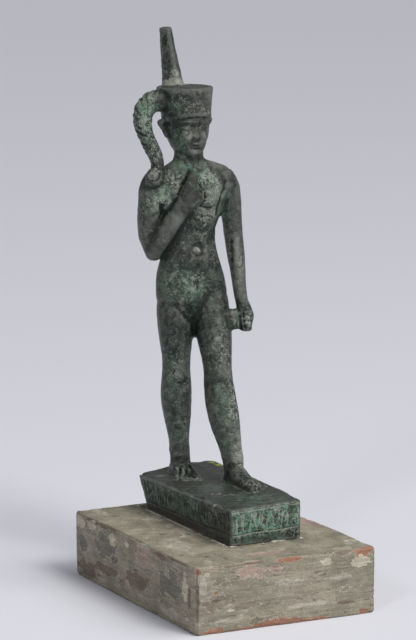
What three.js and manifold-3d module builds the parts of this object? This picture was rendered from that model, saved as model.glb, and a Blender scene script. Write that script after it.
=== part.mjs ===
// A standing bronze statuette of a child god with a red crown, a sidelock and one finger raised to
// the chin, cast in one with its inscribed base, on a painted block of wood.
// Millimetres. +Z is up, -Y is where the figure looks, +X is the figure's left.
// The origin is the middle of the block's underside.
import * as THREE from "three";
import { mergeVertices } from "three/addons/utils/BufferGeometryUtils.js";
import Module from "manifold-3d";

const wasm = await Module();
wasm.setup();

// Driving sizes of the block and of the cast base
const PLINTH_WIDTH = 82.4;
const PLINTH_LENGTH = 117;
const PLINTH_HEIGHT = 28;
const PLINTH_EDGE = 0.7;
const PLINTH_CORNER = 2.2;
const BEDDING_GAP = 0.3;
const BASE_BOTTOM = PLINTH_HEIGHT + BEDDING_GAP;

// The top of the cast base is not level: it rises to the figure's left and falls to the back
const SOLE_HEIGHT = 43.4;
const SOLE_RISE_TO_LEFT = 0.03;
const SOLE_FALL_TO_BACK = 0.012;

// Fineness of the solids
const SKIN_STEP = 4;
const SMALL_SIDES = 8;
const HAND_SIDES = 12;

const LEFTWARD = new THREE.Vector3(1, 0, 0);
const BACKWARD = new THREE.Vector3(0, 1, 0);

// Height of the base's top under a place
function soleAt(x, y) {
  return SOLE_HEIGHT + SOLE_RISE_TO_LEFT * x - SOLE_FALL_TO_BACK * y;
}

// A closed solid from rings of equal count, each end closed by a fan
function solidOfRings(rings) {
  const count = rings[0].length;
  const points = rings.flat();
  const middles = [rings[0], rings[rings.length - 1]].map((ring) =>
    ring.reduce((sum, p) => sum.add(p), new THREE.Vector3()).divideScalar(count));
  const triangles = [];
  for (let r = 0; r + 1 < rings.length; r++) {
    for (let i = 0; i < count; i++) {
      const j = (i + 1) % count;
      const [a, b, c, d] = [r * count + i, r * count + j, (r + 1) * count + j, (r + 1) * count + i];
      triangles.push(a, b, c, a, c, d);
    }
  }
  const lastRing = (rings.length - 1) * count;
  for (let i = 0; i < count; i++) {
    const j = (i + 1) % count;
    triangles.push(points.length, j, i);
    triangles.push(points.length + 1, lastRing + i, lastRing + j);
  }
  return solid(points.concat(middles), triangles);
}

// A library solid from points and triangles, turned right way out
function solid(points, triangles) {
  let volume = 0;
  for (let t = 0; t < triangles.length; t += 3) {
    const [a, b, c] = [0, 1, 2].map((k) => points[triangles[t + k]]);
    volume += a.dot(new THREE.Vector3().crossVectors(b, c));
  }
  const order = volume < 0 ? [0, 2, 1] : [0, 1, 2];
  const triVerts = new Uint32Array(triangles.length);
  for (let t = 0; t < triangles.length; t += 3) {
    order.forEach((k, n) => { triVerts[t + n] = triangles[t + k]; });
  }
  const vertProperties = new Float32Array(points.flatMap((p) => [p.x, p.y, p.z]));
  const mesh = new wasm.Mesh({ numProp: 3, vertProperties, triVerts });
  return new wasm.Manifold(mesh);
}

// Signed power that squares an oval's corners
function squared(value, power) {
  return Math.sign(value) * Math.abs(value) ** (2 / power);
}

// One oval ring: half width to the sides, depth to the front and to the back, and squareness
function ovalRing(centre, side, rear, station, count) {
  const ring = [];
  for (let i = 0; i < count; i++) {
    const angle = (2 * Math.PI * i) / count;
    const across = station.wide * squared(Math.cos(angle), station.power);
    const depth = Math.sin(angle) < 0 ? station.front : station.back;
    const along = depth * squared(Math.sin(angle), station.power);
    ring.push(centre.clone().addScaledVector(side, across).addScaledVector(rear, along));
  }
  return ring;
}

// A smooth value through four neighbours
function through(a, b, c, d, t) {
  const slopeIn = (c - a) / 2;
  const slopeOut = (d - b) / 2;
  const bend = 2 * (b - c) + slopeIn + slopeOut;
  const sag = 3 * (c - b) - 2 * slopeIn - slopeOut;
  return ((bend * t + sag) * t + slopeIn) * t + b;
}

// More stations between the given ones, about SKIN_STEP apart
function refine(stations, step) {
  const fine = [];
  for (let s = 0; s + 1 < stations.length; s++) {
    const near = [-1, 0, 1, 2].map((k) =>
      stations[Math.min(Math.max(s + k, 0), stations.length - 1)]);
    const length = Math.hypot(...["x", "y", "z"].map((k) => near[2][k] - near[1][k]));
    const parts = Math.max(1, Math.round(length / step));
    for (let p = 0; p < parts; p++) {
      const station = {};
      for (const key of Object.keys(stations[0])) {
        station[key] = through(...near.map((n) => n[key]), p / parts);
      }
      fine.push(station);
    }
  }
  fine.push(stations[stations.length - 1]);
  return fine;
}

// Stations written as [x, y, z, wide, front, back]; the depths default to the width
function stationsOf(rows, power = 2) {
  return rows.map(([x, y, z, wide, front = wide, back = front]) =>
    ({ x, y, z, wide, front, back, power }));
}

// A skin along a line of stations, with rounded ends
function limb(rows, { count = 14, side = LEFTWARD, step = SKIN_STEP, power = 2, domes = 2, shape } = {}) {
  const stations = refine(stationsOf(rows, power), step);
  const places = stations.map((s) => new THREE.Vector3(s.x, s.y, s.z));
  const rings = stations.map((station, i) => {
    const before = places[Math.max(i - 1, 0)];
    const after = places[Math.min(i + 1, places.length - 1)];
    const way = after.clone().sub(before).normalize();
    const across = side.clone().addScaledVector(way, -side.dot(way)).normalize();
    const rear = new THREE.Vector3().crossVectors(way, across);
    const ring = ovalRing(places[i], across, rear, station, count);
    return shape ? ring.map((p, k) => shape(p, places[i], i, k / count)) : ring;
  });
  return solidOfRings([...dome(rings[0], rings[1], domes), ...rings,
    ...dome(rings[rings.length - 1], rings[rings.length - 2], domes).reverse()]);
}

// Shrinking rings that round off an end, pushed away from the next ring by the end's half width
function dome(end, next, steps) {
  const middleOf = (ring) => ring.reduce((sum, p) => sum.add(p), new THREE.Vector3())
    .divideScalar(ring.length);
  const middle = middleOf(end);
  const out = middle.clone().sub(middleOf(next)).normalize();
  const reach = Math.min(...end.map((p) => p.distanceTo(middle)));
  const rings = [];
  for (let k = steps; k >= 1; k--) {
    const turn = (k / (steps + 0.5)) * (Math.PI / 2);
    rings.push(end.map((p) => middle.clone().addScaledVector(p.clone().sub(middle), Math.cos(turn))
      .addScaledVector(out, reach * Math.sin(turn))));
  }
  return rings;
}

// An oval lump with its own half sizes
function lump([x, y, z], [hx, hy, hz], count = SMALL_SIDES) {
  const rings = [];
  const levels = Math.max(4, Math.round(count / 2));
  for (let r = 1; r < levels; r++) {
    const tilt = -Math.PI / 2 + (Math.PI * r) / levels;
    const ring = [];
    for (let i = 0; i < count; i++) {
      const angle = (2 * Math.PI * i) / count;
      ring.push(new THREE.Vector3(x + hx * Math.cos(tilt) * Math.cos(angle),
        y + hy * Math.cos(tilt) * Math.sin(angle), z + hz * Math.sin(tilt)));
    }
    rings.push(ring);
  }
  return solidOfRings(rings);
}

// The body's upright middle line
const BODY_X = 7.5;

// Trunk from the crotch to the neck: height, sway, depth of the middle, half width, front, back
const TRUNK = [
  [106.5, 0, 42.6, 4.5, 3.5, 5.5],
  [110, 0, 42.6, 8.2, 4.8, 8.0],
  [114, 0, 42.7, 12.0, 6.3, 9.1],
  [118, -0.1, 42.8, 15.0, 7.5, 9.6],
  [124, -0.3, 43.2, 15.8, 8.5, 9.2],
  [131, -0.6, 43.6, 15.2, 8.6, 7.8],
  [138, -0.5, 43.6, 12.9, 8.5, 6.6],
  [145, -0.2, 43.2, 11.0, 7.4, 6.4],
  [150, 0, 43.2, 11.0, 7.1, 6.9],
  [154.5, 0, 43.2, 13.2, 7.5, 7.5],
  [160, 0, 43.4, 15.4, 8.0, 7.9],
  [166, 0, 43.5, 16.8, 7.8, 7.8],
  [171.5, 0, 43.7, 17.6, 6.8, 7.2],
  [174.8, 0, 43.8, 16.6, 5.7, 6.4],
  [177.2, 0, 44.0, 11.9, 5.1, 5.9],
  [179.6, 0, 44.2, 7.2, 5.1, 5.8],
  [184, 0, 44.9, 5.9, 5.3, 5.9],
  [191, 0, 46.0, 5.8, 5.4, 5.8],
];

// Soft swellings and hollows of the trunk: place from the middle line, reach, and push outwards
const TRUNK_FORMS = [
  { across: 7.0, y: 34.5, z: 164.5, reach: [6.0, 5, 4.6], push: 1.5 },
  { across: 0, y: 34.5, z: 165, reach: [1.9, 5, 8], push: -0.9 },
  { across: 0, y: 34, z: 139.5, reach: [7.5, 5, 6.5], push: 1.2 },
  { across: 0, y: 34, z: 153, reach: [9, 4, 2.4], push: -0.6 },
  { across: 6.6, y: 53, z: 118.5, reach: [5.6, 5, 7], push: 2.4 },
  { across: 0, y: 53, z: 116, reach: [1.6, 5, 8], push: -2.2 },
  { across: 0, y: 51, z: 146, reach: [2.6, 5, 16], push: -1.1 },
  { across: 7.6, y: 51.5, z: 165.5, reach: [5.5, 4, 7], push: 0.9 },
  { across: 14.6, y: 38.5, z: 168.5, reach: [4.6, 5, 7.5], push: 1.9 },
];

// Moves a point of the trunk out from its middle by the forms near it
function trunkForm(point, middle) {
  const out = point.clone().sub(middle).normalize();
  const push = TRUNK_FORMS.reduce((sum, form) => {
    const [rx, ry, rz] = form.reach;
    const across = Math.abs(point.x - BODY_X) - form.across;
    const away = (across / rx) ** 2 + ((point.y - form.y) / ry) ** 2 + ((point.z - form.z) / rz) ** 2;
    return sum + form.push * Math.exp(-away);
  }, 0);
  return point.clone().addScaledVector(out, push);
}

const TRUNK_SIDES = 26;
const TRUNK_SQUARENESS = 2.2;
const NAVEL_AT = [BODY_X - 0.6, 34.3, 141.2];
const NAVEL_HALF = [1.6, 1.0, 1.4];
// Full places where the arms join the trunk: under the right and the left arm, and before each
const ARM_JOINS = [
  { at: [-5.6, 43.6, 152.6], half: [3.4, 4.2, 7.0] },
  { at: [21.4, 43.4, 158.6], half: [3.0, 4.4, 5.8] },
  { at: [-6.6, 40.8, 168], half: [4.8, 4.0, 8.0] },
  { at: [21.6, 40.8, 168], half: [4.8, 4.0, 8.0] },
];

function trunk() {
  const rows = TRUNK.map(([z, sway, y, wide, front, back]) => [BODY_X + sway, y, z, wide, front, back]);
  const body = limb(rows, { count: TRUNK_SIDES, power: TRUNK_SQUARENESS, shape: trunkForm });
  return [body, lump(NAVEL_AT, NAVEL_HALF), ...ARM_JOINS.map(({ at, half }) => lump(at, half))];
}

// Legs from the sole up: the right one stands straight, the left one is set forward
const RIGHT_LEG = [
  [3.9, 46.8, 44.5, 4.9, 3.8, 4.8],
  [3.5, 46.4, 49.5, 4.3, 4.0, 4.4],
  [3.0, 46.1, 54, 3.9, 3.9, 4.1],
  [2.7, 46.3, 61, 4.6, 4.5, 5.0],
  [2.5, 46.8, 68, 5.7, 5.3, 6.3],
  [2.1, 46.9, 75, 6.4, 5.8, 7.1],
  [1.8, 46.4, 82, 6.3, 5.9, 6.6],
  [1.5, 45.9, 89, 5.8, 6.2, 5.5],
  [1.4, 45.6, 95, 6.1, 6.4, 6.1],
  [1.2, 45.2, 101, 7.0, 7.0, 7.4],
  [0.6, 44.2, 109, 7.8, 7.6, 8.8],
  [0.1, 43.5, 117, 7.9, 7.7, 9.0],
  [0.4, 43.4, 125, 6.8, 5.6, 7.2],
];
const LEFT_LEG = [
  [14.4, 15.8, 44.6, 4.2, 3.6, 5.0],
  [14.2, 16.4, 50, 4.1, 4.0, 4.6],
  [13.9, 17.6, 56, 4.3, 4.2, 4.6],
  [13.7, 19.8, 61, 5.0, 4.8, 5.4],
  [13.6, 22.4, 66.5, 6.0, 5.5, 6.7],
  [13.6, 25.0, 72, 6.5, 5.8, 7.3],
  [13.6, 27.6, 78, 6.5, 5.9, 7.0],
  [13.8, 29.6, 83.5, 6.2, 6.0, 6.0],
  [14.0, 31.0, 89, 5.9, 6.3, 5.3],
  [14.4, 32.8, 95, 6.4, 6.6, 6.0],
  [14.8, 34.8, 101, 7.3, 7.1, 7.6],
  [14.9, 37.8, 109, 7.9, 7.6, 8.8],
  [14.8, 41.0, 117, 7.9, 7.5, 9.0],
  [14.2, 43.0, 125, 6.8, 6.2, 7.2],
];

const LEG_SIDES = 16;

function legs() {
  return [RIGHT_LEG, LEFT_LEG].map((rows) => limb(rows, { count: LEG_SIDES }));
}

// A foot: the line of its middle as shares of its length, and five toes from the inside outwards
const FOOT_ROWS = [
  [0.04, 3.3, 4.6],
  [0.15, 4.1, 6.8],
  [0.29, 4.3, 7.8],
  [0.43, 4.6, 5.2],
  [0.58, 4.8, 3.2],
  [0.7, 4.6, 2.2],
];
const FOOT_SQUARENESS = 2.3;
const FOOT_SINK = 1.2;
const TOE_SINK = 0.8;
const TOE_ROOT = 0.44;
const TOES = [
  { across: 3.5, reach: 1, half: 1.75, height: 3.1 },
  { across: 1.0, reach: 0.96, half: 1.15, height: 2.6 },
  { across: -1.1, reach: 0.92, half: 1.05, height: 2.4 },
  { across: -3.0, reach: 0.87, half: 1.0, height: 2.2 },
  { across: -4.7, reach: 0.81, half: 0.95, height: 2.0 },
];

// Along a toe: share of its length, then shares of its place across, half width and height
const TOE_ROWS = [
  { along: 0, aside: 0.8, half: 1, height: 1.5 },
  { along: 0.5, aside: 0.9, half: 0.95, height: 1.1 },
  { along: 1, aside: 1, half: 1, height: 0.9 },
];

function foot({ heel, length, splay, toesIn, outside }) {
  const ahead = new THREE.Vector3(outside * Math.sin(splay), -Math.cos(splay), 0);
  const inward = new THREE.Vector3(-outside * Math.cos(splay), -Math.sin(splay), 0);
  const place = (share, across) => {
    const p = new THREE.Vector3(...heel, 0).addScaledVector(ahead, share * length);
    p.addScaledVector(inward, across);
    return [p.x, p.y, soleAt(p.x, p.y)];
  };
  const rows = FOOT_ROWS.map(([share, wide, height]) => [...place(share, 0), wide, FOOT_SINK, height]);
  const side = inward.clone().multiplyScalar(-outside);
  const instep = limb(rows, { side, power: FOOT_SQUARENESS });
  const toes = TOES.map(({ across, reach, half, height }) => {
    const toeRows = TOE_ROWS.map((row) => {
      const share = TOE_ROOT + (reach - half / length - TOE_ROOT) * row.along;
      const aside = across * row.aside + toesIn * (1 - row.along);
      return [...place(share, aside), half * row.half, TOE_SINK, height * row.height];
    });
    return limb(toeRows, { count: SMALL_SIDES, side, step: 2 * SKIN_STEP, domes: 1 });
  });
  return [instep, ...toes];
}

const RIGHT_FOOT = { heel: [4.2, 52.6], length: 27, splay: 0.2, toesIn: 0.9, outside: -1 };
const LEFT_FOOT = { heel: [14.3, 21.4], length: 30, splay: 0, toesIn: 0, outside: 1 };

function feet() {
  return [...foot(RIGHT_FOOT), ...foot(LEFT_FOOT)];
}

// Arms from the hand or elbow up
const LEFT_ARM = [
  [28.5, 36.6, 118, 2.7],
  [28.5, 38.4, 124, 2.9],
  [28.5, 40.2, 131, 3.4],
  [28.2, 41.6, 138, 3.9],
  [27.6, 42.2, 145, 4.1],
  [26.9, 42.7, 153, 4.4],
  [26.2, 43.2, 161, 4.9],
  [25.5, 43.6, 166, 5.2],
  [24.4, 43.7, 169.6, 4.9],
];
const RIGHT_UPPER_ARM = [
  [-9.6, 45.0, 141.4, 4.0],
  [-11.3, 44.9, 147, 4.7],
  [-11.8, 44.6, 154, 4.9],
  [-11.4, 44.3, 161.5, 5.1],
  [-11.0, 43.9, 166.5, 5.6],
  [-9.8, 43.7, 170.6, 5.2],
];
const RIGHT_FOREARM = [
  [-9.6, 44.4, 140.6, 4.0],
  [-7.8, 42.0, 146.2, 4.5],
  [-4.4, 39.0, 152.6, 4.3],
  [-1.2, 36.4, 158.4, 3.8],
];

function arms() {
  return [LEFT_ARM, RIGHT_UPPER_ARM, RIGHT_FOREARM].map((rows) => limb(rows));
}

// The right hand lies on the chest with its first finger raised to the chin
const RIGHT_PALM = [
  [-1.2, 36.4, 158.4, 3.9, 3.4],
  [0.8, 33.8, 161.8, 4.9, 3.3],
  [2.0, 32.4, 165.4, 5.2, 3.1],
  [2.9, 32.4, 168.6, 4.4, 2.6],
];
const RIGHT_FINGER = [
  [2.0, 32.6, 168.0, 3.2, 2.2],
  [3.9, 33.4, 173.0, 2.3, 1.9],
  [5.7, 35.0, 177.0, 1.4, 1.4],
];
const RIGHT_THUMB = [
  [1.6, 31.0, 161.6, 1.5],
  [4.4, 30.6, 163.6, 1.2],
];
const FIRST_CURLED = [6.3, 31.6, 168.2];
const CURLED_HALF = [1.9, 2.3, 1.35];
const CURLED_STEP = [-0.25, 0.35, -2.5];
const CURLED_FINGERS = 3;

// Bent fingers one under another
function curledRow(first, step, half, number) {
  return Array.from({ length: number }, (_, i) => lump(first.map((c, k) => c + i * step[k]), half));
}

function rightHand() {
  const palm = limb(RIGHT_PALM, { count: HAND_SIDES });
  const finger = limb(RIGHT_FINGER, { count: HAND_SIDES });
  const thumb = limb(RIGHT_THUMB, { count: SMALL_SIDES, domes: 1 });
  return [palm, finger, thumb, ...curledRow(FIRST_CURLED, CURLED_STEP, CURLED_HALF, CURLED_FINGERS)];
}

// The left hand hangs at the thigh, closed on a short roll that joins it to the leg
const LEFT_PALM = [
  [28.7, 33.4, 107.6, 2.9, 3.0],
  [28.8, 33.8, 111.5, 3.3, 3.7],
  [28.6, 35.2, 115.2, 2.9, 3.2],
  [28.5, 36.6, 118, 2.6, 2.7],
];
const HELD_ROLL = [
  [19.5, 34.6, 110.2, 3.0, 4.4],
  [27.5, 33.4, 110.6, 3.0, 4.5],
];
const HELD_ROLL_SQUARENESS = 3;
const FIRST_HANGING = [28.3, 31.2, 113.6];
const HANGING_HALF = [3.0, 1.9, 1.3];
const HANGING_STEP = [0, 0.25, -2.5];
const HANGING_FINGERS = 4;

function leftHand() {
  const palm = limb(LEFT_PALM, { count: HAND_SIDES });
  const roll = limb(HELD_ROLL, { count: HAND_SIDES, side: BACKWARD, power: HELD_ROLL_SQUARENESS });
  return [palm, roll, ...curledRow(FIRST_HANGING, HANGING_STEP, HANGING_HALF, HANGING_FINGERS)];
}

// Head and face, made to general rules for a calm child's face
const HEAD = [
  [180.8, 46.4, 3.2, 8.2, 0.8],
  [182.2, 46.4, 5.4, 9.2, 3.4],
  [185, 46.4, 7.2, 9.2, 6.4],
  [188.5, 46.4, 8.6, 8.8, 8.8],
  [192.5, 46.4, 9.2, 8.6, 10.2],
  [196.5, 46.4, 9.3, 8.6, 10.4],
  [201, 46.4, 9.0, 8.4, 10.2],
];

const HEAD_SIDES = 20;
const HEAD_SQUARENESS = 2.15;
const HEAD_STEP = 2.8;
const NOSE = [
  [BODY_X, 37.7, 189.6, 1.5, 1.7, 1.5],
  [BODY_X, 38.0, 194.2, 0.9, 0.6, 1.0],
];
const LIPS_AT = [BODY_X, 37.9, 186.1];
const LIPS_HALF = [2.5, 1.1, 0.95];
const CHIN_AT = [BODY_X, 38.4, 182.8];
const CHIN_HALF = [2.6, 1.7, 1.7];
const EYE_ASIDE = 3.9;
const EYE_AT = [38.9, 192.9];
const EYE_HALF = [1.9, 1.0, 0.9];

function head() {
  const rows = HEAD.map(([z, y, wide, front, back]) => [BODY_X, y, z, wide, front, back]);
  const skull = limb(rows, { count: HEAD_SIDES, power: HEAD_SQUARENESS, step: HEAD_STEP });
  const nose = limb(NOSE, { count: SMALL_SIDES, domes: 1 });
  const eyes = [-1, 1].map((s) => lump([BODY_X + s * EYE_ASIDE, ...EYE_AT], EYE_HALF));
  return [skull, nose, lump(LIPS_AT, LIPS_HALF), lump(CHIN_AT, CHIN_HALF), ...eyes, ...[-1, 1].map(ear)];
}

// An ear stands out sideways and leans back, wider above than at the lobe
const EAR_ROWS = [
  [9.4, 46.6, 189.8, 1.2, 1.3],
  [10.4, 47.6, 192.6, 1.5, 1.9],
  [11.4, 48.6, 195.4, 1.3, 2.2],
];

function ear(s) {
  const rows = EAR_ROWS.map(([aside, ...rest]) => [BODY_X + s * aside, ...rest]);
  return limb(rows, { count: SMALL_SIDES, domes: 1 });
}

// Red crown: a cap that widens upwards, low at the nape, with a tall three-sided rod behind
const CROWN_FRONT = 198.2;
const CROWN_NAPE = 192.5;
const CROWN_TOP = 210.2;
const CROWN_ROWS = [
  [0, 46.9, 10.0, 1],
  [0.03, 46.9, 10.6, 1],
  [0.35, 47.4, 11.0, 0.7],
  [0.7, 48.1, 11.7, 0.3],
  [0.96, 48.6, 12.3, 0],
  [1, 48.6, 11.8, 0],
];
const CROWN_SIDES = 30;

function crown() {
  const rings = CROWN_ROWS.map(([share, y, radius, slope]) => {
    const level = CROWN_FRONT + (CROWN_TOP - CROWN_FRONT) * share;
    return Array.from({ length: CROWN_SIDES }, (_, i) => {
      const angle = (2 * Math.PI * i) / CROWN_SIDES;
      const drop = (CROWN_FRONT - CROWN_NAPE) * slope * (1 - share) * (1 + Math.sin(angle)) / 2;
      const across = BODY_X + radius * Math.cos(angle);
      return new THREE.Vector3(across, y + radius * Math.sin(angle), level - drop);
    });
  });
  return [solidOfRings(rings), crownRod()];
}

// The rod's section has a flat back and a ridge in front; it narrows as it rises and leans back
const ROD_ROWS = [
  { z: 206, back: 59.8, ridge: 53.6, half: 5.1 },
  { z: 210.6, back: 61.0, ridge: 54.4, half: 5.2 },
  { z: 212.2, back: 61.3, ridge: 55.4, half: 4.8 },
  { z: 233.4, back: 67.0, ridge: 62.9, half: 2.9 },
  { z: 234.4, back: 66.8, ridge: 63.5, half: 2.3 },
];

function crownRod() {
  return solidOfRings(ROD_ROWS.map(({ z, back, ridge, half }) => {
    const depth = back - ridge;
    const outline = [
      [-half, 0.4], [-half, 1.0], [-0.15 * half, depth], [0.15 * half, depth],
      [half, 1.0], [half, 0.4], [0.8 * half, 0], [-0.8 * half, 0],
    ];
    return outline.map(([x, ahead]) => new THREE.Vector3(BODY_X + x, back - ahead, z));
  }));
}

// The sidelock leaves the crown, swings out and comes down on the shoulder in a knob
const LOCK_ROWS = [
  [-9.6, 40.2, 176.2, 2.8],
  [-9.2, 41.6, 180.6, 3.0],
  [-10.4, 43.6, 185.4, 3.3],
  [-12.3, 45.8, 191, 3.5],
  [-13.2, 47.0, 196.4, 4.1],
  [-12.0, 47.6, 201.4, 4.5],
  [-8.2, 48.0, 204.4, 4.7],
  [-3.2, 48.4, 204.6, 4.9],
];
const LOCK_STEP = 1.6;
const PLAIT_DEPTH = 0.06;
const PLAIT_TURNS = 0.42;
const LOCK_SIDES = 12;
const KNOB_AT = [-11.6, 38.6, 173.2];
const KNOB_HALF = [4.3, 3.6, 4.6];
const KNOB_SIDES = 12;

function sidelock() {
  const plait = (point, middle, ring, share) => {
    const swell = Math.abs(Math.sin(Math.PI * (PLAIT_TURNS * ring + share)));
    const size = 1 - PLAIT_DEPTH + PLAIT_DEPTH * 2 * swell;
    return middle.clone().addScaledVector(point.clone().sub(middle), size);
  };
  const lock = limb(LOCK_ROWS, { count: LOCK_SIDES, side: BACKWARD, step: LOCK_STEP, shape: plait });
  return [lock, lump(KNOB_AT, KNOB_HALF, KNOB_SIDES)];
}

// Cast base: straight in front, wider and round-cornered behind, leaning out a little to the back
const BASE_PLAN = [
  { low: [-11.9, -32.1], high: [-12.3, -32.0], round: 0.8 },
  { low: [20.8, -32.1], high: [21.4, -31.4], round: 1.6 },
  { low: [24.0, 53.5], high: [25.4, 58.2], round: 5 },
  { low: [-11.8, 52.6], high: [-14.6, 56.0], round: 7 },
];
const BASE_MIDDLE = new THREE.Vector2(4.5, 12);
const BASE_EDGE = 0.6;
const BASE_EDGE_LEVEL = 0.96;
const CORNER_STEPS = 4;

// Corner points of one level of the base, each corner rounded by a short curve
function baseOutline(level, inset) {
  const corners = BASE_PLAN.map(({ low, high, round }) => ({
    at: new THREE.Vector2(...low).lerp(new THREE.Vector2(...high), level), round,
  }));
  return corners.flatMap(({ at, round }, i) => {
    const before = corners[(i + 3) % 4].at;
    const after = corners[(i + 1) % 4].at;
    const start = at.clone().add(before.clone().sub(at).setLength(round));
    const end = at.clone().add(after.clone().sub(at).setLength(round));
    return Array.from({ length: CORNER_STEPS + 1 }, (_, k) => {
      const t = k / CORNER_STEPS;
      const p = start.clone().multiplyScalar((1 - t) ** 2).addScaledVector(at, 2 * t * (1 - t))
        .addScaledVector(end, t ** 2);
      return p.add(BASE_MIDDLE.clone().sub(p).setLength(inset));
    });
  });
}

function castBase() {
  const levels = [[0, 0], [BASE_EDGE_LEVEL, 0], [1, BASE_EDGE]];
  return solidOfRings(levels.map(([level, inset]) => baseOutline(level, inset).map((p) => {
    const top = soleAt(p.x, p.y);
    return new THREE.Vector3(p.x, p.y, BASE_BOTTOM + (top - BASE_BOTTOM) * level);
  })));
}

function bronze() {
  const pieces = [castBase(), ...trunk(), ...legs(), ...feet(), ...arms(), ...rightHand(), ...leftHand(),
    ...head(), ...crown(), ...sidelock()];
  return pieces.reduce((whole, piece) => whole.add(piece));
}

// The block of wood, with worn edges
function plinth() {
  const levels = [[0, PLINTH_EDGE], [PLINTH_EDGE, 0], [PLINTH_HEIGHT - PLINTH_EDGE, 0],
    [PLINTH_HEIGHT, PLINTH_EDGE]];
  const turns = [[1, 1], [-1, 1], [-1, -1], [1, -1]];
  return solidOfRings(levels.map(([z, inset]) => turns.flatMap(([sx, sy], quarter) =>
    Array.from({ length: CORNER_STEPS + 1 }, (_, k) => {
      const angle = (Math.PI / 2) * (quarter + k / CORNER_STEPS);
      const reach = PLINTH_CORNER - inset;
      return new THREE.Vector3(sx * (PLINTH_WIDTH / 2 - PLINTH_CORNER) + reach * Math.cos(angle),
        sy * (PLINTH_LENGTH / 2 - PLINTH_CORNER) + reach * Math.sin(angle), z);
    }))));
}

// A named mesh of one solid
function meshOf(name, body, look) {
  const { vertProperties, triVerts, numProp } = body.getMesh();
  const geometry = new THREE.BufferGeometry();
  const positions = [];
  for (let v = 0; v < vertProperties.length; v += numProp) {
    positions.push(vertProperties[v], vertProperties[v + 1], vertProperties[v + 2]);
  }
  geometry.setAttribute("position", new THREE.Float32BufferAttribute(positions, 3));
  geometry.setIndex(Array.from(triVerts));
  const merged = mergeVertices(geometry);
  merged.computeVertexNormals();
  const mesh = new THREE.Mesh(merged, new THREE.MeshStandardMaterial(look));
  mesh.name = name;
  return mesh;
}

const DARK_PATINA = { color: 0x34413a, roughness: 0.55, metalness: 0.6 };
const OLD_PAINT = { color: 0x8a8673, roughness: 0.85, metalness: 0 };

const statuette = new THREE.Group();
statuette.add(meshOf("bronze_statuette", bronze(), DARK_PATINA));
statuette.add(meshOf("wooden_plinth", plinth(), OLD_PAINT));

export default statuette;
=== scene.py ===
import math

import bmesh
import bpy
import numpy as np
from mathutils import Matrix, Vector, kdtree, noise


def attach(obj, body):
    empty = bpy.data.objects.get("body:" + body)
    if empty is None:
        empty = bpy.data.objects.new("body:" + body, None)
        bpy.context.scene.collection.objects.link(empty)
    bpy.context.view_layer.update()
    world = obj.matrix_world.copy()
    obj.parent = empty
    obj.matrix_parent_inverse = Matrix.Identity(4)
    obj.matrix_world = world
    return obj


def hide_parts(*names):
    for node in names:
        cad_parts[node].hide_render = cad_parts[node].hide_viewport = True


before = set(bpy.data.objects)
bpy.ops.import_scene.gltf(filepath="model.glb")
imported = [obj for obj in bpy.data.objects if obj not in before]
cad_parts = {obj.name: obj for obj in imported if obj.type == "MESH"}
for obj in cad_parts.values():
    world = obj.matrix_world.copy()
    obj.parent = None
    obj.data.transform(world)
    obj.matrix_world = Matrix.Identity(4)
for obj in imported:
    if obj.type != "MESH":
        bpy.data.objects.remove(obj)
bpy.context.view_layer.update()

# Lengths below are millimetres unless they say otherwise; Blender's own are metres.
# The figure looks towards -Y, +X is its left and +Z is up.
MM = 0.001

# Block of wood
BLOCK_LOW = (-41.2, -58.5, 0.0)
BLOCK_HIGH = (41.2, 58.5, 28.0)
BLOCK_EDGE = 0.9
BLOCK_STEP = 0.5
BLOCK_CORNERS = (1.5, 1.1, 2.0, 1.4)
PAINT_THICK = 0.16

# Cast base: corners of its plan at the bottom and at the top, and how round they are
BASE_LOW_PLAN = ((-11.9, -32.1), (20.8, -32.1), (24.0, 53.5), (-11.8, 52.6))
BASE_HIGH_PLAN = ((-12.3, -32.0), (21.4, -31.4), (25.4, 58.2), (-14.6, 56.0))
BASE_ROUND = (1.1, 1.7, 5.0, 7.0)
BASE_BOTTOM = 27.9
BASE_EDGE = 1.05
BASE_STEP = 0.29
SOLE_HEIGHT = 43.4
SOLE_RISE_TO_LEFT = 0.03
SOLE_FALL_TO_BACK = 0.012

# Figure
BODY_X = 7.5
VOXEL = 0.7
CROWN_RIM = 198.2
CROWN_TOP = 210.2


def sole_at(x, y):
    return SOLE_HEIGHT + SOLE_RISE_TO_LEFT * x - SOLE_FALL_TO_BACK * y


# ---- mesh helpers

def place(piece_name, mesh, slot, node):
    """Puts a finished mesh into the scene as a piece that rides on the one body."""
    piece = bpy.data.objects.new(piece_name, mesh)
    bpy.context.scene.collection.objects.link(piece)
    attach(piece, "root")
    if node:
        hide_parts(node)
    return piece


def mesh_of(bm, name):
    """A mesh in metres from a bmesh in millimetres."""
    bmesh.ops.transform(bm, matrix=Matrix.Scale(MM, 4), verts=bm.verts)
    mesh = bpy.data.meshes.new(name)
    bm.to_mesh(mesh)
    bm.free()
    return mesh


def read_points(mesh):
    flat = np.empty(len(mesh.vertices) * 3)
    mesh.vertices.foreach_get("co", flat)
    return flat.reshape(-1, 3) / MM


def write_points(mesh, points):
    mesh.vertices.foreach_set("co", (points * MM).ravel())
    mesh.update()


def read_normals(mesh):
    flat = np.empty(len(mesh.vertices) * 3)
    mesh.vertices.foreach_get("normal", flat)
    return flat.reshape(-1, 3)


def read_edges(mesh):
    flat = np.empty(len(mesh.edges) * 2, dtype=np.int32)
    mesh.edges.foreach_get("vertices", flat)
    return flat.reshape(-1, 2)


def neighbour_mean(points, edges):
    """Mean place of each point's neighbours."""
    near, far = edges[:, 0], edges[:, 1]
    size = len(points)
    count = np.bincount(near, minlength=size) + np.bincount(far, minlength=size)
    mean = np.empty_like(points)
    for axis in range(points.shape[1]):
        total = np.bincount(near, points[far, axis], size)
        total += np.bincount(far, points[near, axis], size)
        mean[:, axis] = total / np.maximum(count, 1)
    return mean


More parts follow.
